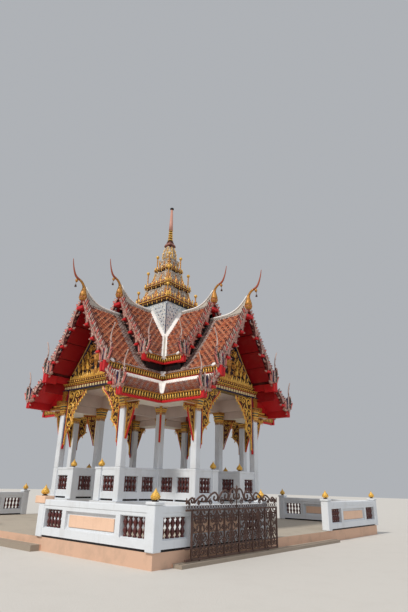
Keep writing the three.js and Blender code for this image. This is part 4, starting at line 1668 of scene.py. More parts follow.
@dataclass
class SkirtRoof:
    """Low L-shaped roof round a re-entrant corner, with tiles, fascia, soffits and end boards.

    Attributes:
        slope: Section of its slope.
        end: How far it runs out from the crossing.
        bottom: Height of its fascia's foot.
        front: Where the wall below the gable stands.
        kiln: Tints of the lighter slanting stripes of its tiles.
        dark: Tints of the darker ones.
    """

    slope: Slope = Slope(1.87, 2.71, 5.25, 0.63, 0.16)
    end: float = 4.54
    bottom: float = 4.33
    front: float = 3.62
    kiln: tuple[Shade, ...] = (Shade.ASH, Shade.ASH, Shade.EMBER)
    dark: tuple[Shade, ...] = (Shade.MAUVE, Shade.EMBER, Shade.TERRACOTTA)

    def leg(self, seed: int) -> Draft:
        """Draws the leg along the south arm.

        Args:
            seed: Seed of the kiln colours.

        Returns:
            The draft.
        """
        draft = Draft(TILES)
        slope, end = self.slope, self.end
        TileField(slope, end, seed, self.kiln, self.dark, band=0.0, joint=0.004).lay(draft)
        eave = slope.height(slope.outer)
        Eave(slope.outer, eave, self.bottom, slope.outer, end).draw(draft)
        self.boarding(draft)
        self.end_trim(draft)
        self.flashing(draft)
        return draft

    def boarding(self, draft: Draft) -> None:
        """Adds the boarding under the tiles and the pale and red soffits below it.

        Args:
            draft: Takes the faces.
        """
        slope, end, front = self.slope, self.end, self.front
        reach = [float(d) for d in np.linspace(slope.inner, slope.outer - 0.03, 4)]
        for inner, outer in pairwise(reach):
            (x0, z0), (x1, z1) = slope.at(inner, -0.01), slope.at(outer, -0.01)
            ends = ((-end, -end), (-inner, -outer))
            rings = [[(x0, y0, z0), (x1, y1, z1), (x1, y1, z1 - 0.05), (x0, y0, z0 - 0.05)]
                     for y0, y1 in ends]
            draft.paint(Shade.CRIMSON).skin(rings)
        # The pale sheet lies level from the fascia to the wall of the arm
        near, far = 1.89, 2.6
        draft.use(SOFFIT).skin([[(near, -near, z), (far, -far, z), (far, -front, z), (near, -front, z)]
                                for z in (4.325, 4.35)])
        # An upright sheet closes the gap between that sheet and the beam of the arm
        draft.use(CEILING).box((1.873, -front, 4.33), (1.889, -1.873, 4.9))
        # Under the overhang the boards step down with the roof
        for a, b in pairwise((1.9, 2.16, 2.4, far)):
            z0, z1 = slope.height(a) - 0.07, slope.height(b) - 0.1
            draft.paint(Shade.RED)
            lip = b - 0.02
            draft.skin([[(a, y, z0), (lip, y, z1 + 0.03), (lip, y, z1), (a, y, z0 - 0.03)]
                        for y in (-end + 0.01, -front)])
        closing = [(near, self.bottom), (far, self.bottom), (far, slope.height(far) - 0.08),
                   (near, slope.height(near) - 0.08)]
        draft.skin([[(x, y, z) for x, z in closing] for y in (-front - 0.03, -front)])

    def end_trim(self, draft: Draft) -> None:
        """Adds the end board, its finial, the red end blocks and the gilt rail by the column.

        Args:
            draft: Takes the faces.
        """
        slope, end = self.slope, self.end
        first, last = slope.inner + 0.02, slope.outer + 0.02
        trim = GableTrim(slope, first, last, 8, (2.3,), leaf_size=0.11, low=0.0, step=0.14, high=0.09)
        board = trim.draw()
        board.stamp(GableTrim.finial((slope.outer + 0.02, 4.62), 1.16), moved(0, 0, -0.04))
        draft.stamp(board, facing((0, -end - 0.11, 0), SOUTH))
        # Red board between the skirt and the eave above, seen under the overhang of the gable
        draft.paint(Shade.CRIMSON).box((1.83, -end + 0.06, 4.9), (1.87, -self.front, 5.33))
        draft.paint(Shade.MAROON)
        draft.box((2.58, -end - 0.07, self.bottom + 0.02), (2.74, -end + 0.02, self.bottom + 0.27))
        draft.paint(Shade.RED)
        for x0, x1 in ((2.56, 2.65), (2.675, 2.76)):
            draft.box((x0, -end - 0.1, self.bottom), (x1, -end + 0.02, self.bottom + 0.29), 0.012)
        draft.paint(Shade.MAROON).box((1.885, -3.68, 4.34), (2.5, -3.64, 4.5))
        for finish, x, z0, z1 in ((GOLD, 2.55, 4.33, 4.41), (GILT, 2.3, 4.44, 4.5),
                                  (GOLD, 2.12, 4.53, 4.68)):
            draft.use(finish).box((1.885, -3.72, z0), (x, -3.64, z1), 0.01)

    def flashing(self, draft: Draft) -> None:
        """Adds half of the white fillets: along the top edge and down the valley.

        Args:
            draft: Takes the faces.
        """
        slope = self.slope
        z = slope.top
        draft.use(CEMENT).skin(
            [[(1.85, y, z - 0.05), (1.85, y, z + 0.09), (1.93, y, z + 0.05), (1.97, y, z - 0.06)]
             for y in (-self.end + 0.05, -1.86)]
        )
        rings: list[Ring] = []
        for d, wide in zip(np.linspace(1.87, 2.7, 5), taper(5, 0.17, 0.06)):
            x, top = slope.at(float(d), 0.05)
            rings.append([(x, -x, top - 0.09), (x, -x, top), (x - 0.02, -x - wide, top),
                          (x - 0.04, -x - wide - 0.03, top - 0.1)])
        draft.skin(rings)

    def build(self) -> None:
        """Builds the four skirt roofs, each from a leg and its mirror image across the corner."""
        for turn, corner in enumerate(CORNERS):
            draft = cornered(self.leg(31 + turn), self.leg(41 + turn))
            draft.build(f"{corner}_skirt_tiles", "roof_tile", nodes=[f"{corner}_skirt_roof"], turn=turn)


@dataclass
class GableFront:
    """Entablature, pediment relief, arch brackets and capital blocks of one porch.

    Attributes:
        face: Where the arch brackets stand, along Y.
        back: Where the beam behind them ends.
        ground: Where the pediment's relief stands.
        half: Half the width of the pediment.
    """

    face: float = -3.56
    back: float = -3.43
    ground: float = -3.6
    half: float = 1.6

    def arch_bracket(self) -> Draft:
        """Draws the pierced gilt bracket right of the opening, with its painted edge lines and gold teeth.

        Returns:
            The drawing.
        """
        draft = Draft(GOLD)
        edge = curve([(0.48, 4.98), (0.62, 4.8), (0.85, 4.6), (1.06, 4.3), (1.2, 4.04), (1.15, 3.88),
                      (1.2, 3.7), (1.37, 3.58), (1.48, 3.4), (1.53, 3.18), (1.58, 2.99)], 4)
        draft.use(GILT).strip(edge, taper(len(edge), 0.035, 0.03), 0.035)
        inner = [(x + 0.035, z + 0.02) for x, z in edge]
        draft.paint(Shade.RED).strip(inner, taper(len(inner), 0.03, 0.024), 0.02)
        tooth = Ornament.leaf(GILT, lean=0.4, levels=3)
        for (x0, z0), (x1, z1) in pairwise(edge[:20:2]):
            lean = math.degrees(math.atan2(z1 - z0, x1 - x0)) + 215
            draft.stamp(tooth, flat_place((x0 + x1) / 2 + 0.01, (z0 + z1) / 2, lean, 0.06))
        post = [(1.585, 3.0), (1.585, 5.1)]
        for offset, wide, finish, tint in ((0.0, 0.05, ENAMEL, Shade.NAVY),
                                           (0.042, 0.026, ENAMEL, Shade.RED),
                                           (0.07, 0.03, GILT, Shade.PLAIN)):
            draft.use(finish, tint).strip([(x - offset, z) for x, z in post], [wide, wide], 0.04)
        draft.paint(Shade.RED).strip([(1.56, 3.04), (1.585, 2.96), (1.6, 2.86)], [0.09, 0.06, 0.015], 0.05)
        scroll = Ornament.scroll(GILT)
        spots = ((1.36, 4.84, 20, 0.17, False), (1.0, 4.86, 70, 0.14, True), (0.74, 4.91, 80, 0.09, True),
                 (1.38, 4.42, -20, 0.16, False), (1.12, 4.52, 150, 0.12, True), (1.44, 4.06, 10, 0.12, True),
                 (1.24, 4.2, 200, 0.08, False), (1.33, 3.8, 140, 0.15, True), (1.5, 3.56, 0, 0.07, True),
                 (1.54, 3.34, 30, 0.04, False), (1.18, 4.94, 90, 0.06, True), (1.5, 4.62, 0, 0.06, True),
                 (1.3, 4.24, 60, 0.07, True), (1.52, 4.24, 0, 0.05, False))
        draft.scatter(scroll, spots)
        flame = Ornament.flame(GOLD)
        tufts = ((1.18, 4.74, 40, 0.06), (1.49, 4.64, -20, 0.05), (1.24, 4.32, 140, 0.05),
                 (1.5, 4.24, 0, 0.045), (1.5, 3.87, 0, 0.035))
        draft.scatter(flame, tufts)
        return draft

    def pediment(self) -> Draft:
        """Draws the right half of the gilt relief over its dark ground.

        Returns:
            The drawing.
        """
        draft = Draft(ENAMEL, Shade.NIGHT)
        line = gabled(MAIN_RIDGE)
        # Near the ridge the offset line would pass the middle, so it starts where it meets it
        roof = [line.at(float(d), -0.18) for d in np.linspace(0.0, 1.68, 16)]
        draft.plate([(0, 5.4), (self.half, 5.4), *reversed([p for p in roof if 0.0 < p[0] < self.half])],
                    -0.1, 0.0)
        rim = [line.at(float(d), -0.24) for d in np.linspace(0.05, 1.6, 16)]
        rim = [p for p in rim if p[0] > 0.02]
        draft.use(GOLD).strip(rim, taper(len(rim), 0.045, 0.045), 0.05)
        draft.paint(Shade.NAVY)
        draft.strip([(x - 0.04, z - 0.05) for x, z in rim], taper(len(rim), 0.03, 0.03), 0.05)
        scroll = Ornament.scroll(GOLD)
        spots = ((0.26, 6.1, 0, 0.2, False), (0.24, 6.58, 20, 0.15, True), (0.2, 6.93, 10, 0.1, False),
                 (0.62, 6.28, -40, 0.14, True), (0.68, 5.98, 30, 0.14, False), (0.95, 6.05, -30, 0.1, True),
                 (1.02, 5.88, 40, 0.1, False), (1.22, 5.86, -20, 0.07, True), (0.45, 6.58, -60, 0.09, True),
                 (0.1, 7.22, 0, 0.06, False), (0.38, 5.84, 120, 0.1, True))
        draft.scatter(scroll, spots)
        flame = Ornament.flame(GILT)
        for x, z, size in ((0.44, 5.74, 0.14), (0.74, 5.76, 0.12), (1.0, 5.7, 0.11), (1.22, 5.64, 0.09),
                           (0.5, 6.16, 0.11), (0.82, 6.04, 0.09), (0.36, 6.46, 0.1), (0.1, 6.84, 0.09)):
            draft.stamp(flame, flat_place(x, z, -12, size) @ sized(0.7, 1.2, 1.6) @ moved(0, 0, 0.1))
        for i, x in enumerate(np.linspace(0.08, 1.46, 11)):
            size = 0.13 if i % 2 else 0.1
            draft.stamp(flame, flat_place(float(x), 5.44, 0, size * min(1.0, (1.75 - float(x)) * 1.6)))
        return draft

    def entablature(self, draft: Draft) -> None:
        """Adds the beam, the pale dentils with a soot strip between them as painted shade, and the gilt
        cornices.

        Args:
            draft: Takes the faces.
        """
        draft.use(OLD_GOLD).box((-1.62, -3.57, 4.98), (1.62, self.back, 5.06), 0.01)
        draft.paint(Shade.NAVY).box((-1.85, -3.62, 5.05), (1.85, self.back, 5.1), 0.006)
        # The soot strip behind the dentils is painted shade
        draft.paint(Shade.SOOT).box((-1.84, -3.59, 5.1), (1.84, self.back, 5.2))
        count = 23
        for i in range(count):
            x = -1.84 + (i + 0.5) * 3.68 / count
            draft.paint(Shade.CREAM).box((x - 0.036, -3.65, 5.09), (x + 0.036, -3.59, 5.19), 0.006)
        courses = ((ENAMEL, Shade.CRIMSON, 1.85, -3.65, 5.19, 5.215),
                   (GOLD, Shade.PLAIN, 1.86, -3.68, 5.215, 5.24),
                   (ENAMEL, Shade.BRONZE, 1.85, -3.65, 5.24, 5.29),
                   (GILT, Shade.PLAIN, 1.87, -3.71, 5.285, 5.31),
                   (ENAMEL, Shade.MAROON, 1.56, -3.71, 5.31, 5.4),
                   (GOLD, Shade.PLAIN, 1.57, -3.74, 5.39, 5.415),
                   (ENAMEL, Shade.NAVY, 1.56, -3.68, 5.41, 5.43))
        for finish, tint, half, y, z0, z1 in courses:
            draft.use(finish, tint).box((-half, y, z0), (half, self.back, z1), 0.006)
        leaf = Ornament.leaf(GILT, lean=0.3, levels=3)
        for i in range(27):
            x = -1.8 + i * 3.6 / 26
            draft.stamp(leaf, facing((x, -3.65, 5.24), SOUTH) @ sized(0.075, 0.024, 0.07))
            if abs(x) < 1.5:
                draft.stamp(leaf, facing((x, -3.715, 5.335), SOUTH) @ sized(0.07, 0.03, 0.1))
                # Upright flames stand on the edge of the cornice
                tall = 0.085 if i % 2 else 0.06
                draft.stamp(leaf, facing((x, -3.7, 5.42), SOUTH) @ sized(0.08, tall, 0.12))

    def capital_block(self, draft: Draft) -> None:
        """Adds the fluted gilt block over each porch column, wider at its head, with red grooves.

        Args:
            draft: Takes the faces.
        """
        for middle in (-COLUMN_LINE, COLUMN_LINE):
            draft.paint(Shade.RED).box((middle - 0.125, -3.62, 4.62), (middle + 0.125, self.back, 5.06))
            for k in (-1.5, -0.5, 0.5, 1.5):
                rings: list[Ring] = []
                for wide, front, z in ((0.058, -3.64, 4.68), (0.062, -3.65, 4.85), (0.08, -3.69, 5.03)):
                    left, right = middle + k * wide - wide * 0.36, middle + k * wide + wide * 0.36
                    rings.append([(left, -3.6, z), (right, -3.6, z), (right, front, z), (left, front, z)])
                draft.use(GOLD).skin(rings)
            for tint, half, front, z0, z1 in ((Shade.NAVY, 0.145, -3.67, 4.6, 4.635),
                                              (Shade.YELLOW, 0.135, -3.655, 4.635, 4.665),
                                              (Shade.NAVY, 0.17, -3.71, 5.03, 5.06)):
                draft.paint(tint).box((middle - half, front, z0), (middle + half, self.back, z1), 0.005)

    def build(self) -> None:
        """Builds the four porch fronts."""
        relief = self.arch_bracket().mirrored()
        # A brown board between the two faces fills the gaps of the tracery with painted shade
        board = Draft(ENAMEL, Shade.BARK)
        board.plate([(0.62, 5.0), (0.78, 4.76), (1.0, 4.52), (1.14, 4.26), (1.26, 4.04), (1.2, 3.88),
                     (1.26, 3.72), (1.4, 3.62), (1.5, 3.42), (1.56, 3.16), (1.58, 3.1),
                     (1.58, 5.0)], -0.012, 0.012)
        ground = board.mirrored()
        pediment = self.pediment().mirrored()
        flame = Draft(GOLD)
        flame.scatter(Ornament.flame(GOLD), ((0, 6.75, 0, 0.2), (0, 6.05, 0, 0.24), (0, 5.5, 0, 0.2)))
        for turn, arm in enumerate(ARMS):
            draft = Draft(GOLD)
            draft.stamp(relief, facing((0, self.face, 0), SOUTH))
            draft.stamp(relief, facing((0, self.face, 0), (-1, 0, 0)))
            draft.stamp(ground, facing((0, self.face, 0), SOUTH))
            draft.stamp(pediment, facing((0, self.ground, 0), SOUTH))
            draft.stamp(flame, facing((0, self.ground, 0), SOUTH))
            self.entablature(draft)
            self.capital_block(draft)
            draft.build(f"{arm}_porch_front", "gilding", nodes=[f"{arm}_gable_front"], turn=turn)


@dataclass
class Columns:
    """Twelve square columns with lotus capitals and gilt eave brackets.

    Attributes:
        shaft_top: Height of the shaft's top, below the capital.
    """

    shaft_top: float = 4.2

    def column(self, x: float, y: float) -> Draft:
        """Draws a column and its capital.

        Args:
            x: Place of its axis.
            y: Place of its axis.

        Returns:
            The draft.
        """
        draft = Draft(PLASTER)
        half, top = COLUMN_HALF, self.shaft_top
        draft.box((x - half, y - half, RAIL_TOP - 0.01), (x + half, y + half, top), 0.02)
        bands = ((GILT, Shade.PLAIN, 0.01, 0.025, -0.01, 0.035),
                 (ENAMEL, Shade.RED, 0.008, 0.008, 0.03, 0.06), (GILT, Shade.PLAIN, 0.03, 0.04, 0.055, 0.12),
                 (ENAMEL, Shade.NAVY, 0.018, 0.022, 0.115, 0.165),
                 (GILT, Shade.PLAIN, 0.045, 0.055, 0.16, 0.215),
                 (ENAMEL, Shade.TEAL, 0.03, 0.035, 0.21, 0.265),
                 (GILT, Shade.PLAIN, 0.05, 0.065, 0.26, 0.31),
                 (ENAMEL, Shade.SOOT, 0.045, 0.045, 0.305, 0.335),
                 (GOLD, Shade.PLAIN, 0.06, 0.09, 0.33, 0.4))
        for finish, tint, low, high, z0, z1 in bands:
            draft.use(finish, tint).square([(half + low, top + z0), (half + high, top + z1)], x, y)
        petal = Ornament.leaf(GOLD, levels=3)
        for turn, offset in product(range(4), (-0.09, -0.03, 0.03, 0.09)):
            stand = moved(x, y, 0) @ quarter(turn)
            hang = facing((offset, -half + 0.004, top), (-1, 0, 0), (0, 0, -1))
            draft.stamp(petal, stand @ hang @ sized(0.055, 0.06, 0.08))
            rise = facing((offset * 1.5, -half - 0.06, top + 0.3), SOUTH)
            draft.stamp(petal, stand @ rise @ sized(0.07, 0.045, 0.12))
        return draft

    def bracket(self) -> Draft:
        """Draws the pierced eave bracket, from the column at zero to its outer corner.

        Returns:
            The drawing.
        """
        draft = Draft(ENAMEL, Shade.RED)
        outer = curve([(0.03, 3.1), (0.1, 3.34), (0.2, 3.62), (0.29, 3.86), (0.34, 4.04), (0.35, 4.16)], 3)
        draft.strip(outer, taper(len(outer), 0.03, 0.04), 0.03, -0.03)
        inner = [(x - 0.035, z + 0.01) for x, z in outer]
        draft.use(GILT).strip(inner, taper(len(inner), 0.02, 0.03), 0.04, -0.04)
        draft.strip([(0.015, 3.2), (0.015, 4.3)], [0.025, 0.025], 0.04, -0.04)
        draft.use(GOLD).strip([(0.02, 4.3), (0.54, 4.3)], [0.045, 0.045], 0.05, -0.05)
        draft.paint(Shade.CRIMSON).strip([(0.02, 4.265), (0.5, 4.265)], [0.02, 0.02], 0.045, -0.045)
        face = Draft(GOLD)
        curls = ((0.12, 4.18, 20, 0.088, False), (0.28, 4.17, -60, 0.0825, True),
                 (0.43, 4.17, 200, 0.088, True), (0.13, 3.97, -20, 0.077, True),
                 (0.26, 4.0, 60, 0.0605, False), (0.1, 3.78, 10, 0.0605, False),
                 (0.2, 3.82, 60, 0.0495, True), (0.11, 3.6, 0, 0.055, True), (0.07, 3.44, 0, 0.033, False))
        face.scatter(Ornament.scroll(GILT), curls)
        fringe = Ornament.leaf(GILT, levels=2)
        for x in np.linspace(0.08, 0.52, 6):
            face.stamp(fringe, flat_place(float(x), 4.27, 180 + (30 if x > 0.4 else 0), 0.07))
        ground = Draft(ENAMEL, Shade.RUSSET)
        ground.plate([(0.03, 3.3), (0.18, 3.62), (0.26, 3.86), (0.33, 4.12), (0.5, 4.2), (0.5, 4.28),
                      (0.03, 4.28)], -0.01, 0.01)
        draft.stamp(ground, Matrix.Identity(4))
        draft.stamp(face, Matrix.Identity(4))
        draft.stamp(face, Matrix.Scale(-1, 4, (0, 0, 1)))
        return draft

    def build(self) -> None:
        """Builds the columns of the four corners."""
        bracket = self.bracket()
        root = math.sqrt(2)
        for turn, corner in enumerate(CORNERS):
            near, after = ARMS[turn], ARMS[(turn + 1) % 4]
            plan = ((f"{near}_porch_column_{after}", COLUMN_LINE, -PORCH_LINE, SOUTH, 1.0),
                    (f"{corner}_corner_column", COLUMN_LINE, -COLUMN_LINE, (1 / root, -1 / root, 0.0), root),
                    (f"{after}_porch_column_{near}", PORCH_LINE, -COLUMN_LINE, (0.0, -1.0, 0.0), 1.0))
            for node, x, y, way, reach in plan:
                draft = self.column(x, y)
                foot = (x + way[0] * COLUMN_HALF * reach, y + way[1] * COLUMN_HALF * reach, 0)
                draft.stamp(bracket, facing(foot, way))
                draft.build(f"{node}_dressed", "white_plaster", nodes=[node], turn=turn)


@dataclass
class Balustrade:
    """Parapet round one re-entrant corner: pierced panels, pedestals, clay balusters and gilt buds.

    Attributes:
        opening: Heights of the sill and head of its openings.
        slot: Heights of the drain slot above the floor.
        half: Half its thickness.
        spindles: Number of balusters in an opening.
        entrance: Distance of the entrance posts from the middle line.
    """

    opening: tuple[float, float] = (1.43, 1.94)
    slot: tuple[float, float] = (1.165, 1.225)
    half: float = 0.075
    spindles: int = 4
    entrance: float = 0.79

    def panel(self, draft: Draft, start: float, end: float, holes: Sequence[tuple[float, float]]) -> None:
        """Draws a pierced panel along X, with its middle plane at zero.

        Args:
            draft: Takes the faces.
            start: Where it starts.
            end: Where it ends.
            holes: Start and end of each opening.
        """
        h = self.half
        (z0, z1), (s0, s1) = self.opening, self.slot
        draft.use(PLASTER).box((start, -h, s1), (end, h, z0))
        draft.box((start, -h, z1), (end, h, RAIL_TOP))
        draft.box((start, -h - 0.012, RAIL_TOP - 0.07), (end, h + 0.012, RAIL_TOP + 0.004), 0.008)
        draft.box((start, -h, FLOOR), (end, h, s0))
        marks = [start, *(v for hole in holes for v in hole), end]
        for a, b in zip(marks[::2], marks[1::2]):
            draft.box((a, -h, z0), (b, h, z1))
        feet = [start, *(v + side for hole in holes for v, side in zip(hole, (-0.09, 0.07))), end]
        for a, b in zip(feet[::2], feet[1::2]):
            draft.box((a, -h, s0), (b, h, s1))
        # The soot strip in the drain slot is painted shade
        draft.paint(Shade.SOOT).box((start, -h + 0.05, s0), (end, h - 0.05, s1))
        for a, b in holes:
            draft.use(PLASTER)
            for low, high in (((a, z0), (a + 0.02, z1)), ((b - 0.02, z0), (b, z1)),
                              ((a, z0), (b, z0 + 0.02)), ((a, z1 - 0.02), (b, z1))):
                draft.box((low[0], -h + 0.03, low[1]), (high[0], h - 0.03, high[1]))
            for i in range(self.spindles):
                x = a + (i + 0.5) * (b - a) / self.spindles
                draft.stamp(Ornament.baluster(z1 - z0 - 0.03), moved(x, 0, z0 + 0.015))

    def leg(self) -> Draft:
        """Draws the parapet along the right half of the south porch.

        Returns:
            The draft.
        """
        draft = Draft(PLASTER)
        inner, outer = (-3.34, -2.76), (-2.56, -1.98)
        runs = ((self.entrance, COLUMN_LINE, [(0.98, 1.61)], moved(0, -PORCH_LINE, 0)),
                (-PORCH_LINE, -2.66, [inner], facing((0.72, 0, 0), EAST, (-1, 0, 0))),
                (-PORCH_LINE, -COLUMN_LINE, [inner, outer], facing((COLUMN_LINE, 0, 0), EAST, (-1, 0, 0))))
        for start, end, holes, place in runs:
            run = Draft(PLASTER)
            self.panel(run, start, end, holes)
            draft.stamp(run, place)
        draft.use(PLASTER)
        x, y = self.entrance, -PORCH_LINE
        draft.box((x - 0.15, y - 0.13, FLOOR), (x + 0.15, y + 0.13, RAIL_TOP), 0.015)
        draft.box((x - 0.17, y - 0.15, RAIL_TOP - 0.06), (x + 0.17, y + 0.15, RAIL_TOP + 0.01), 0.01)
        draft.stamp(Ornament.bud(), moved(x, y, RAIL_TOP))
        self.pedestal(draft, -PORCH_LINE)
        return draft

    def pedestal(self, draft: Draft, y: float) -> None:
        """Adds the foot of a column on the column line.

        Args:
            draft: Takes the faces.
            y: Place of its axis.
        """
        h = COLUMN_HALF
        draft.use(PLASTER).box((COLUMN_LINE - h, y - h, FLOOR), (COLUMN_LINE + h, y + h, RAIL_TOP), 0.02)

    def build(self) -> None:
        """Builds the parapets of the four corners."""
        leg = self.leg()
        for turn, corner in enumerate(CORNERS):
            draft = cornered(leg, leg)
            self.pedestal(draft, -COLUMN_LINE)
            draft.build(f"{corner}_parapet", "white_plaster", nodes=[f"{corner}_balustrade"], turn=turn)


@dataclass
class EnclosureWall:
    """Low wall round one corner of the terrace: clay balusters, peach panels, coping, posts and buds.

    Attributes:
        outer: Distance of its outer face from the middle of the terrace.
        inner: Distance of its inner face.
        foot: Height of its foot.
        sill: Height of the sill of its openings.
        head: Height of their head.
        coping: Height of the coping's foot.
        top: Height of the coping's top.
        start: Where it starts beside the gateway.
        holes: Start and end of each opening.
        panel: Start and end of the sunk panel.
        spindles: Number of balusters in an opening.
    """

    outer: float = 6.4
    inner: float = 6.18
    foot: float = 0.33
    sill: float = 0.56
    head: float = 1.03
    coping: float = 1.1
    top: float = 1.25
    start: float = 1.97
    holes: tuple[tuple[float, float], ...] = ((2.24, 3.02), (5.29, 6.12))
    panel: tuple[float, float] = (3.18, 5.13)
    spindles: int = 5

    def leg(self, peach_cap: bool) -> Draft:
        """Draws the wall along the right half of the south side.

        Args:
            peach_cap: Whether its gateway post has the peach cap.

        Returns:
            The draft.
        """
        draft = Draft(PLASTER)
        y0, y1, end = -self.outer, -self.inner, POST_LINE
        # The wall stands back over the terrace edge, and a soot box in the groove there is painted shade
        draft.paint(Shade.SOOT)
        draft.box((self.start, y0 + 0.04, self.foot + 0.002), (end, y1 - 0.04, self.foot + 0.06))
        draft.use(PLASTER).box((self.start, y0, self.foot + 0.055), (end, y1, self.sill))
        draft.box((self.start, y0, self.head), (end, y1, self.coping))
        draft.box((self.start, y0 - 0.015, self.coping), (end, y1 + 0.015, self.top), 0.012)
        marks = [self.start, *(v for hole in self.holes for v in hole), end]
        spans = [list(span) for span in zip(marks[::2], marks[1::2])]
        spans[1:2] = [[spans[1][0], self.panel[0]], [self.panel[1], spans[1][1]]]
        for a, b in spans:
            draft.box((a, y0, self.sill), (b, y1, self.head))
        self.sunk_panel(draft)
        depth = 0.05
        for a, b in self.holes:
            draft.use(PLASTER)
            draft.box((a, y0 + depth, self.sill), (b, y1 - depth, self.sill + 0.02))
            draft.box((a, y0 + depth, self.head - 0.02), (b, y1 - depth, self.head))
            for i in range(self.spindles):
                x = a + (i + 0.5) * (b - a) / self.spindles
                spindle = Ornament.baluster(self.head - self.sill - 0.03)
                draft.stamp(spindle, moved(x, (y0 + y1) / 2, self.sill + 0.015))
        self.post(draft, GATEWAY_POST, -POST_LINE, peach_cap)
        return draft

    def sunk_panel(self, draft: Draft) -> None:
        """Adds the sunk panel with its white ledge and peach field, on both faces.

        Args:
            draft: Takes the faces.
        """
        a, b = self.panel
        low, high = self.sill + 0.02, self.head - 0.02
        sunk = 0.07
        draft.use(PLASTER).box((a, -self.outer, self.sill), (b, -self.inner, low))
        draft.box((a, -self.outer, high), (b, -self.inner, self.head))
        draft.box((a, -self.outer + sunk, low), (b, -self.inner - sunk, high))
        draft.box((a, -self.outer + 0.03, low), (b, -self.inner - 0.03, low + 0.05))
        for near, far in ((-self.outer + sunk - 0.03, -self.outer + sunk),
                          (-self.inner - sunk, -self.inner - sunk + 0.03)):
            draft.use(PEACH).box((a + 0.11, near, low + 0.06), (b - 0.09, far, high - 0.09), 0.008)

    def post(self, draft: Draft, x: float, y: float, peach_cap: bool) -> None:
        """Adds a square post with a cap and a gilt bud.

        Args:
            draft: Takes the faces.
            x: Place of its axis.
            y: Place of its axis.
            peach_cap: Whether its cap is peach.
        """
        half, top = 0.13, 1.27
        draft.use(PLASTER).box((x - half, y - half, self.foot + 0.005), (x + half, y + half, top), 0.015)
        draft.use(PEACH if peach_cap else PLASTER)
        cap_at, low = (x - 0.1, top - 0.12) if peach_cap else (x, top)
        reach = half + (0.08 if peach_cap else 0.025)
        draft.box((cap_at - reach, y - half - 0.025, low), (x + half + 0.025, y + half + 0.025, top + 0.065),
                  0.012)
        draft.stamp(Ornament.bud(), moved(cap_at, y, top + 0.065))

    def build(self) -> None:
        """Builds the walls of the four corners."""
        for turn, corner in enumerate(CORNERS):
            draft = cornered(self.leg(turn == 0), self.leg(False))
            self.post(draft, POST_LINE, -POST_LINE, False)
            draft.build(f"{corner}_enclosure", "white_plaster", nodes=[f"{corner}_wall"], turn=turn)


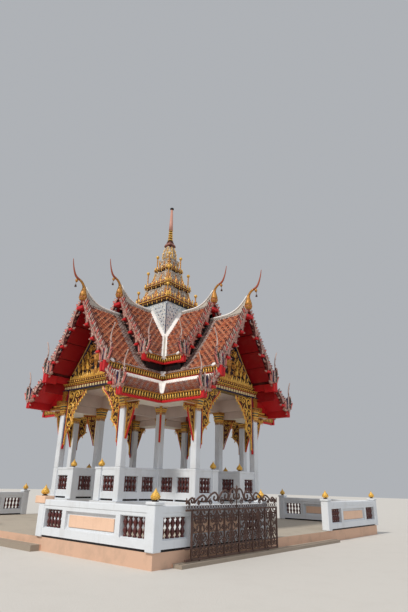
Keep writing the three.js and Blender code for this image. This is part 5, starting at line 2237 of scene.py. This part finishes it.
@dataclass
class SlidingGate:
    """Wrought-iron gate on two rollers: framed bays of scrollwork under a crest of waves.

    Attributes:
        plane: Where its middle plane stands, along X.
        start: Where it starts, along Y.
        end: Where it ends.
        bottom: Height of its foot.
        top: Height of the top rail.
        waves: Share of the length and height of the crest where one wave gives way to the next.
        bays: Number of framed bays.
        axle: Height of the rollers' axles.
    """

    plane: float = 6.55
    start: float = -5.55
    end: float = -1.65
    bottom: float = 0.11
    top: float = 1.175
    waves: Ribbon = ((0.0, 0.14), (0.07, 0.2), (0.18, 0.27), (0.3, 0.35), (0.41, 0.42), (0.5, 0.46))
    bays: int = 6
    axle: float = 0.1405

    def rod(self, draft: Draft, path: Sequence[Point2], radius: float = 0.015) -> None:
        """Adds a bent bar in the plane of the gate.

        Args:
            draft: Takes the faces.
            path: Points as place along Y and height.
            radius: Radius of the bar.
        """
        draft.sweep([(self.plane, y, z) for y, z in path], [radius] * len(path), 5)

    def curl(self, draft: Draft, y: float, z: float, size: float, angle: float, turns: float) -> None:
        """Adds a spiral bar about a point of the gate.

        Args:
            draft: Takes the faces.
            y: Middle along the gate.
            z: Middle height.
            size: Outer radius.
            angle: Start of the spiral, in degrees.
            turns: Turns, negative for the other way.
        """
        self.rod(draft, [(y + a, z + b) for a, b in spiral(size, angle, turns)])

    def bay(self, draft: Draft, y0: float, y1: float) -> None:
        """Fills one bay with big paired scrolls above and small ones below.

        Args:
            draft: Takes the faces.
            y0: Start of the bay.
            y1: End of the bay.
        """
        middle, half = (y0 + y1) / 2, (y1 - y0) / 2
        low, knee, high = self.bottom + 0.05, 0.375, self.top - 0.045
        tall = high - knee
        leaf = Ornament.leaf(IRON, levels=3)
        for side in (-1, 1):
            big = half * 0.47
            for z, way in ((knee + tall * 0.27, 1), (knee + tall * 0.74, -1)):
                self.curl(draft, middle + side * half * 0.5, z, big, 90 * way, 1.5 * side * way)
                self.curl(draft, middle + side * half * 0.5, z + 0.01, big * 0.5, -90 * way,
                          -1.2 * side * way)
            self.rod(draft, curve([(middle + side * 0.015, knee),
                                   (middle + side * half * 0.3, knee + tall * 0.25),
                                   (middle + side * 0.02, knee + tall * 0.5),
                                   (middle + side * half * 0.3, knee + tall * 0.75),
                                   (middle + side * 0.015, high)], 4))
            for spot in (0.28, 0.74):
                self.curl(draft, middle + side * half * spot, (low + knee) / 2, 0.085, 90, 1.4 * side)
            for z in (knee + tall * 0.5, knee + tall * 0.04, high - tall * 0.04):
                stand = facing((self.plane, middle + side * half * 0.52, z), EAST)
                draft.stamp(leaf, stand @ flat_place(0, -0.03, 30 * side, 0.07))
            self.curl(draft, middle + side * half * 0.84, knee + tall * 0.5, 0.06, 0, 1.3 * side)
            for z, way in ((knee, 1), (high, -1)):
                self.curl(draft, middle + side * half * 0.12, z + way * 0.1, 0.06, 90 * way, 1.2 * side)
                self.curl(draft, middle + side * half * 0.86, z + way * 0.09, 0.05, 90 * way, -1.2 * side)
        self.rod(draft, [(middle, low), (middle, high)], 0.014)

    def crown(self, draft: Draft) -> None:
        """Adds the crest: waves that climb to a spike in the middle, on a row of small rings.

        Args:
            draft: Takes the faces.
        """
        middle, length = (self.start + self.end) / 2, self.end - self.start
        rings, radius = 39, 0.04
        for i in range(rings):
            y, z = self.start + length * (i + 0.5) / rings, self.top + 0.045
            turned = np.linspace(0, math.tau, 8)
            self.rod(draft, [(y + radius * math.cos(a), z + radius * math.sin(a)) for a in turned], 0.01)
        rail = [(self.start, self.top + 0.095), (self.end, self.top + 0.095)]
        self.rod(draft, rail, 0.012)
        leaf = Ornament.leaf(IRON, levels=3)
        for side in (-1, 1):
            for (t0, h0), (t1, h1) in pairwise(self.waves):
                a, b = (middle + side * (0.5 - t) * length for t in (t0, t1))
                base, span = self.top + 0.08, b - a
                # Each wave swells from the rail and curls over at its head
                wave = curve([(a, base + h0 * 0.25), (a + span * 0.35, base + h0 * 0.8),
                              (a + span * 0.75, base + h1 * 0.8), (b, base + h1 * 0.55),
                              (b - span * 0.12, base + h1 * 0.3), (b - span * 0.36, base + h1 * 0.36),
                              (b - span * 0.3, base + h1 * 0.56)], 4)
                self.rod(draft, wave, 0.024)
                size = min(abs(span) * 0.22, h1 * 0.2)
                self.curl(draft, a + span * 0.4, base + size, size, 90, -1.4 * side)
                tip = facing((self.plane, a + span * 0.02, base + h0 * 0.2), EAST)
                draft.stamp(leaf, tip @ Matrix.Scale(0.07, 4))
        self.rod(draft, [(middle, self.top), (middle, self.top + 0.44)], 0.014)
        draft.stamp(leaf, facing((self.plane, middle, self.top + 0.33), EAST) @ Matrix.Scale(0.11, 4))

    def build(self) -> None:
        """Builds the gate."""
        draft = Draft(IRON)
        x0, x1 = self.plane - 0.022, self.plane + 0.022
        for z0, z1 in ((self.bottom, self.bottom + 0.05), (self.top - 0.045, self.top), (0.35, 0.375)):
            draft.box((x0, self.start, z0), (x1, self.end, z1), 0.005)
        first = self.start + 0.2
        width = (self.end - first - 0.04) / self.bays
        for i in range(self.bays + 1):
            y = first + i * width
            draft.box((x0, y, self.bottom), (x1, y + 0.04, self.top), 0.005)
            if i < self.bays:
                self.bay(draft, y + 0.04, y + width)
        self.crown(draft)
        wheel = Draft(IRON, smooth=True)
        wheel.lathe([(0.0, -0.014), (0.045, -0.012), (0.038, 0.0), (0.045, 0.012), (0.0, 0.014)], 0, 0, 20)
        for y in (self.start + 0.5, self.end - 0.5):
            draft.stamp(wheel, facing((self.plane, y, self.axle), EAST))
        draft.build("sliding_iron_gate", "iron", GATE, ["sliding_gate"])


@dataclass
class Crown:
    """Neck, three mosaic stages with gilt antefixes, bell and ringed spire.

    Attributes:
        neck_half: Half width of the neck.
        pitch: Distance between the upright leaves of a cornice.
        bell_foot: Height of the bell's foot.
        spire_foot: Height of the spire's foot.
    """

    neck_half: float = 0.9
    pitch: float = 0.15
    bell_foot: float = 11.7
    spire_foot: float = 12.73

    def neck(self) -> None:
        """Dresses the neck with its dark corner strips and rows of blue glass studs."""
        draft = Draft(MIRROR)
        half = self.neck_half
        draft.box((-half, -half, 6.6), (half, half, 9.08))
        stud = Draft(ENAMEL, Shade.STEEL)
        stud.lathe([(0.0, 0.02), (0.024, 0.01), (0.034, 0.0), (0.0, -0.004)], 0, 0, 6)
        for turn in range(4):
            spin = quarter(turn)
            face = Draft(ENAMEL, Shade.NAVY)
            face.strip([(half - 0.02, 6.7), (half - 0.02, 9.07)], [0.045, 0.045], 0.014, -0.02)
            for row, column in product(range(12), range(8)):
                x = -0.78 + column * 0.22 + (0.11 if row % 2 else 0)
                if x < 0.82:
                    face.stamp(stud, moved(x, 7.06 + row * 0.17, 0.0))
            draft.stamp(face, spin @ facing((0, -half, 0), SOUTH))
        draft.build("mosaic_neck", "mirror_mosaic", nodes=["neck"])

    def stage(
        self, name: str, lower: float, wide: float, upper: float, heights: Point3, post: Point2
    ) -> None:
        """Builds one stage of the crown.

        Args:
            name: Name of the frame node.
            lower: Half width of its foot.
            wide: Half width of the cornice.
            upper: Half width of its top.
            heights: Heights of its foot, of the cornice's top and of its top.
            post: Reach and top of the ball posts.
        """
        foot, shelf, top = heights
        rise, k = top - shelf, wide**0.6
        under = min(0.2, (shelf - foot) * 0.8)
        # The lowest stage starts in the neck's own mirror mosaic
        draft = Draft(MIRROR if lower == self.neck_half else STUCCO)
        draft.square([(lower, foot), (wide - 0.17, shelf - under), (wide - 0.12, shelf)])
        # The soot band under the cornice is painted shade
        draft.paint(Shade.SOOT).square([(wide - 0.165, shelf - under), (wide - 0.08, shelf - 0.1 * k)])
        body = [(wide - 0.16, shelf), (wide - 0.19, shelf + rise * 0.14)]
        body += [(upper + (wide - 0.21 - upper) * (1 - t) ** 1.4, shelf + rise * (0.14 + 0.86 * t))
                 for t in (0.2, 0.4, 0.7, 1.0)]
        draft.use(STUCCO).square(body)
        courses = ((ENAMEL, Shade.WINE, 0.06, -0.11, -0.03), (GILT, Shade.PLAIN, 0.0, -0.034, -0.01),
                   (ENAMEL, Shade.WINE, 0.025, -0.014, 0.066), (GOLD, Shade.PLAIN, 0.035, 0.062, 0.08))
        for finish, tint, inset, z0, z1 in courses:
            half = wide - inset * k
            draft.use(finish, tint).square([(half, shelf + z0 * k), (half, shelf + z1 * k)])
        for turn in range(4):
            spin = quarter(turn)
            self.cornice(draft, spin, wide, shelf, k)
            self.leaves(draft, spin, upper + (wide - 0.22 - upper) * 0.5, shelf + rise * 0.14, rise)
            self.flames(draft, spin, wide, upper, shelf, rise)
        self.posts(draft, post, shelf, wide)
        self.ridges(draft, body)
        draft.build(f"{name}_dressed", "mirror_mosaic", nodes=[name])

    def cornice(self, draft: Draft, spin: Matrix, wide: float, shelf: float, k: float) -> None:
        """Adds the drops, cream beads that are painted highlights, and upright leaves along one side of a
        cornice, every second one larger.

        Args:
            draft: Takes the faces.
            spin: Matrix that turns the side into place.
            wide: Half width of the cornice.
            shelf: Height of its top.
            k: Factor on the heights.
        """
        # The wine leaf set behind each upright leaf is painted shade
        drop, shade = Ornament.leaf(GILT, levels=2), Ornament.leaf(ENAMEL, Shade.WINE, levels=3)
        # The cream beads on the gilt course are painted highlights
        highlight_bead = Ornament.leaf(ENAMEL, Shade.CREAM, levels=2)
        count = round(2 * wide / self.pitch)
        for i in range(count):
            x = -wide + (i + 0.5) * 2 * wide / count
            hang = spin @ facing((x, -wide + 0.045 * k, shelf - 0.1 * k), (-1, 0, 0), (0, 0, -1))
            stand = spin @ facing((x, -wide + 0.05, shelf + 0.07 * k), SOUTH)
            if i % 2:
                draft.stamp(drop, hang @ sized(0.075, 0.06 * k, 0.1))
                over = facing((x, -wide + 0.025 * k, shelf + 0.003), SOUTH)
                draft.stamp(highlight_bead, spin @ over @ sized(0.06, 0.026 * k, 0.07))
                draft.stamp(shade, stand @ sized(0.13, 0.12 * k, 0.04))
                draft.stamp(Ornament.leaf(GILT, levels=3), stand @ sized(0.1, 0.1 * k, 0.12))
            else:
                draft.stamp(drop, hang @ sized(0.03, 0.03 * k, 0.1))
                draft.stamp(shade, stand @ sized(0.13, 0.085 * k, 0.04))
                draft.stamp(Ornament.leaf(EMBER_GOLD, levels=3), stand @ sized(0.1, 0.065 * k, 0.12))

    def leaves(self, draft: Draft, spin: Matrix, reach: float, foot: float, rise: float) -> None:
        """Adds the two broad mosaic leaves of one side, each on a larger umber leaf whose dark outline is
        painted shade.

        Args:
            draft: Takes the faces.
            spin: Matrix that turns the side into place.
            reach: Half width of the stage behind them.
            foot: Height of their feet.
            rise: Height of the stage over its cornice.
        """
        pale, rim = Ornament.leaf(STUCCO, levels=3), Ornament.leaf(ENAMEL, Shade.UMBER, levels=3)
        for way in (-1, 1):
            stand = spin @ facing((way * reach * 0.5, -reach - 0.05, foot), SOUTH)
            stand = stand @ Matrix.Rotation(math.radians(-14), 4, "X")
            draft.stamp(rim, stand @ sized(reach * 0.72, rise * 0.74, 0.05))
            draft.stamp(pale, stand @ moved(0, 0, 0.02) @ sized(reach * 0.6, rise * 0.66, 0.1))

    def flames(
        self, draft: Draft, spin: Matrix, wide: float, upper: float, shelf: float, rise: float
    ) -> None:
        """Adds the flames that climb one side, the tallest in the middle and by the corners.

        Args:
            draft: Takes the faces.
            spin: Matrix that turns the side into place.
            wide: Half width of the cornice.
            upper: Half width of the stage's top.
            shelf: Height of the cornice's top.
            rise: Height of the stage over its cornice.
        """
        flame, bright = Ornament.flame(EMBER_GOLD), Ornament.flame(GOLD)
        # The cream leaf on each flame is a painted highlight
        heart = Ornament.leaf(ENAMEL, Shade.CREAM, levels=3)
        for t, size in ((0.06, 0.17), (0.34, 0.13), (0.62, 0.09)):
            reach = upper + (wide - 0.22 - upper) * (1 - t) ** 1.7
            for share in (0.0, -0.42, 0.42, -0.78, 0.78):
                small = abs(share) == 0.42
                if t > 0.3 and small:
                    continue
                z = shelf + rise * (0.06 + 0.88 * t)
                stand = spin @ facing((share * reach, -reach - 0.02, z), SOUTH)
                stand = stand @ Matrix.Rotation(math.radians(-10), 4, "X")
                grown = size * wide**0.5 * (0.7 if small else 1.0)
                draft.stamp(bright if small else flame, stand @ Matrix.Scale(grown, 4))
                draft.stamp(heart, stand @ moved(0, 0, grown * 0.3) @ Matrix.Scale(grown * 0.42, 4))

    def ridges(self, draft: Draft, body: Sequence[Point2]) -> None:
        """Adds the bright gilt rib with its knobs down each corner of a stage.

        Args:
            draft: Takes the faces.
            body: Half width and height of the corner, from foot to top.
        """
        knob = Ornament.leaf(GILT, levels=3)
        for turn in range(4):
            spin = quarter(turn)
            rib = Draft(GILT)
            line = [(half, -half, z) for half, z in body]
            rib.sweep(line, [0.022] * len(line), 5)
            for (x0, _, z0), (x1, _, z1) in pairwise(line):
                for t in (0.25, 0.75):
                    x, z = x0 + (x1 - x0) * t, z0 + (z1 - z0) * t
                    rib.stamp(knob, facing((x, -x, z), (1, 1, 0)) @ Matrix.Scale(0.045, 4))
            draft.stamp(rib, spin)

    def posts(self, draft: Draft, post: Point2, shelf: float, wide: float) -> None:
        """Adds a flame and a gilt ball on a pole at each corner.

        Args:
            draft: Takes the faces.
            post: Reach and top of the posts.
            shelf: Height of the cornice.
            wide: Half width of the cornice.
        """
        reach, top = post
        flame = Ornament.flame(GILT)
        for turn in range(4):
            spin = quarter(turn)
            pole = Draft(GOLD, smooth=True)
            pole.lathe([(0.045, shelf), (0.05, shelf + 0.1), (0.03, shelf + 0.16), (0.027, top - 0.13)],
                       reach, -reach, 8)
            pole.use(GILT, smooth=True)
            pole.lathe([(0.03, top - 0.16), (0.065, top - 0.12), (0.078, top - 0.07), (0.06, top - 0.02),
                        (0.0, top)], reach, -reach, 9)
            for way in (SOUTH, EAST):
                place = facing((wide - 0.08, -wide + 0.08, shelf + 0.02), way)
                pole.stamp(flame, place @ moved(0, 0, 0.06) @ Matrix.Scale(0.085 * wide**0.5, 4))
            draft.stamp(pole, spin)

    def bell(self) -> None:
        """Builds the mosaic bell with its gilt ribs and dark collar."""
        draft = Draft(STUCCO, smooth=True)
        foot = self.bell_foot
        side = [(0.33, foot), (0.345, foot + 0.1), (0.335, foot + 0.25), (0.29, foot + 0.43),
                (0.235, foot + 0.58)]
        draft.lathe([*side, (0.19, foot + 0.74)], 0, 0, 16)
        for radius, z in ((0.352, foot + 0.06), (0.262, foot + 0.52)):
            draft.use(GILT, smooth=True)
            draft.lathe([(radius - 0.02, z - 0.02), (radius + 0.006, z), (radius - 0.02, z + 0.02)], 0, 0,
                        16)
        leaf = Ornament.leaf(GILT, levels=3)
        for i in range(8):
            spin = Matrix.Rotation(math.tau * (i + 0.5) / 8, 4, "Z")
            rib = Draft(GILT)
            rib.sweep([(0, -radius - 0.004, z) for radius, z in side], [0.016] * len(side), 4)
            for radius, z in side[1:]:
                rib.stamp(leaf, facing((0, -radius - 0.01, z), SOUTH) @ sized(0.06, 0.06, 0.06))
            draft.stamp(rib, spin)
        for tint, half, z0, z1 in ((Shade.SOOT, 0.15, 0.7, 0.76), (Shade.UMBER, 0.2, 0.76, 0.85),
                                   (Shade.MAUVE, 0.178, 0.85, 0.92), (Shade.UMBER, 0.13, 0.9, 1.03)):
            draft.paint(tint).box((-half, -half, foot + z0), (half, half, foot + z1), 0.01)
        draft.build("mosaic_bell", "mirror_mosaic", nodes=["bell"])

    def spire(self) -> None:
        """Builds the ringed spire: gilt rings, a copper-pink cone and a dark cap."""
        foot = self.spire_foot
        draft = Draft(ENAMEL, Shade.BRONZE, smooth=True)
        draft.lathe([(0.15, foot), (0.15, foot + 0.04), (0.08, foot + 0.08), (0.07, 13.42)], 0, 0, 12)
        draft.use(GILT, smooth=True)
        for i in range(5):
            z, radius = foot + 0.13 + i * 0.13, 0.125 - 0.007 * i
            draft.lathe([(radius - 0.06, z - 0.035), (radius, z - 0.016), (radius, z + 0.02),
                         (radius - 0.06, z + 0.035)], 0, 0, 14)
        draft.paint(Shade.ROSE, smooth=True).lathe([(0.105, 13.38), (0.09, 13.7), (0.05, 14.62)], 0, 0, 12)
        draft.paint(Shade.SOOT, smooth=True).lathe(
            [(0.05, 14.6), (0.092, 14.63), (0.094, 14.68), (0.06, 14.7), (0.0, 14.745)], 0, 0, 12
        )
        draft.build("ringed_spire", "gilding", nodes=["spire"])

    def build(self) -> None:
        """Builds the crown from the neck up."""
        self.neck()
        self.stage("crown_lower_stage", self.neck_half, 1.04, 0.69, (9.08, 9.38, 10.06), (0.94, 10.04))
        self.stage("crown_middle_stage", 0.69, 0.79, 0.44, (10.06, 10.23, 11.0), (0.67, 11.06))
        self.stage("crown_upper_stage", 0.44, 0.5, 0.34, (11.0, 11.15, self.bell_foot), (0.39, 11.95))
        self.bell()
        self.spire()


def dress(node: Object, finish: Finish) -> None:
    """Gives a frame node its finish.

    Args:
        node: Object of the node.
        finish: Its finish.
    """
    node.data.materials.clear()
    node.data.materials.append(finish.material())


@dataclass(frozen=True)
class Lamp:
    """Soft distant light.

    Attributes:
        name: Name of the light.
        energy: Strength.
        colour: Colour, sRGB hex.
        spread: Apparent width, in degrees.
        azimuth: Where it stands, in degrees from north by east.
        height: Height over the horizon, in degrees.
    """

    name: str
    energy: float
    colour: str
    spread: float
    azimuth: float
    height: float

    def hang(self) -> None:
        """Adds the light to the scene."""
        data = bpy.data.lights.new(self.name, "SUN")
        data.energy = self.energy
        data.color = linear(self.colour)[:3]
        data.angle = math.radians(self.spread)
        a, e = math.radians(self.azimuth), math.radians(self.height)
        towards = Vector((math.sin(a) * math.cos(e), math.cos(a) * math.cos(e), math.sin(e)))
        add_object(self.name, data).rotation_euler = towards.to_track_quat("Z", "Y").to_euler()


@dataclass(frozen=True)
class Studio:
    """Pale floor, soft light and the photograph's viewpoint.

    Attributes:
        eye: Place of the camera.
        yaw: Turn from north towards west, in degrees.
        pitch: Tilt upwards, in degrees.
        roll: Turn about the view axis, in degrees.
        lens: Focal length in millimetres for a 36 mm long side.
        lamps: A warm key from the south and a cool fill from the east.
        sky: Colour of the even sky, sRGB hex.
        sky_strength: Its strength.
        reach: Half the width of the floor.
    """

    eye: Point3 = (14.17, -14.11, 1.7)
    yaw: float = 40.17
    pitch: float = 21.25
    roll: float = 1.31
    lens: float = 27.09
    lamps: tuple[Lamp, ...] = (
        Lamp("key", 2.43, "#FFFAF3", spread=6, azimuth=181, height=47),
        Lamp("fill", 0.47, "#EAF1FF", spread=40, azimuth=110, height=35),
    )
    sky: str = "#EEF2F8"
    sky_strength: float = 0.5
    reach: float = 90.0

    def camera(self) -> None:
        """Sets up the camera."""
        yaw, pitch, roll = (math.radians(v) for v in (self.yaw, self.pitch, self.roll))
        look = Vector((-math.sin(yaw) * math.cos(pitch), math.cos(yaw) * math.cos(pitch), math.sin(pitch)))
        right = Vector((math.cos(yaw), math.sin(yaw), 0))
        up = right.cross(look)
        across = math.cos(roll) * right + math.sin(roll) * up
        rise = -math.sin(roll) * right + math.cos(roll) * up
        data = bpy.data.cameras.new("camera")
        data.sensor_width = 36
        data.lens = self.lens
        data.clip_end = 500
        camera = add_object("camera", data)
        placed = Matrix((across, rise, -look)).transposed().to_4x4()
        placed.translation = Vector(self.eye)
        camera.matrix_world = placed
        bpy.context.scene.camera = camera

    def lights(self) -> None:
        """Sets up the lamps and the even sky."""
        for lamp in self.lamps:
            lamp.hang()
        world = bpy.data.worlds.new("studio")
        world.use_nodes = True
        background = world.node_tree.nodes["Background"]
        background.inputs["Color"].default_value = linear(self.sky)
        background.inputs["Strength"].default_value = self.sky_strength
        bpy.context.scene.world = world
        # The plain transform keeps the reds of the paint and tiles as deep as the paint itself
        bpy.context.scene.view_settings.view_transform = "Standard"

    def floor(self) -> None:
        """Lays the pale floor."""
        r = self.reach
        mesh = bpy.data.meshes.new("studio_floor")
        mesh.from_pydata([(-r, -r, 0), (r, -r, 0), (r, r, 0), (-r, r, 0)], [], [(0, 1, 2, 3)])
        mesh.materials.append(BACKDROP.material())
        add_object("studio_floor", mesh)


def main() -> None:
    """Builds the pavilion around its frame."""
    logging.basicConfig(level=logging.INFO, format="%(name)s %(message)s")
    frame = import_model()
    nodes = frame["nodes"]
    dress(nodes["terrace"], PAVING)
    dress(nodes["podium"], PLASTER)
    dress(nodes["ceiling_beams"], CEILING)
    for arm in ARMS:
        dress(nodes[f"{arm}_stairs"], TERRAZZO)
    main_arm = RoofArm(Tier.MAIN, MAIN_RIDGE, 4.48, 3.6, hidden=1.5, hidden_end=2.74)
    dusky = (Shade.EMBER, Shade.MAUVE, Shade.EMBER, Shade.TERRACOTTA)
    upper_arm = RoofArm(Tier.UPPER, UPPER_RIDGE, 2.74, 2.58, kiln=dusky)
    EnclosureWall().build()
    SlidingGate().build()
    Balustrade().build()
    Columns().build()
    GableFront().build()
    SkirtRoof().build()
    for arm in (main_arm, upper_arm):
        arm.build()
        Gable(arm).build()
    Crown().build()
    studio = Studio()
    studio.camera()
    studio.lights()
    studio.floor()
    bpy.context.view_layer.update()


if __name__ == "__main__":
    main()
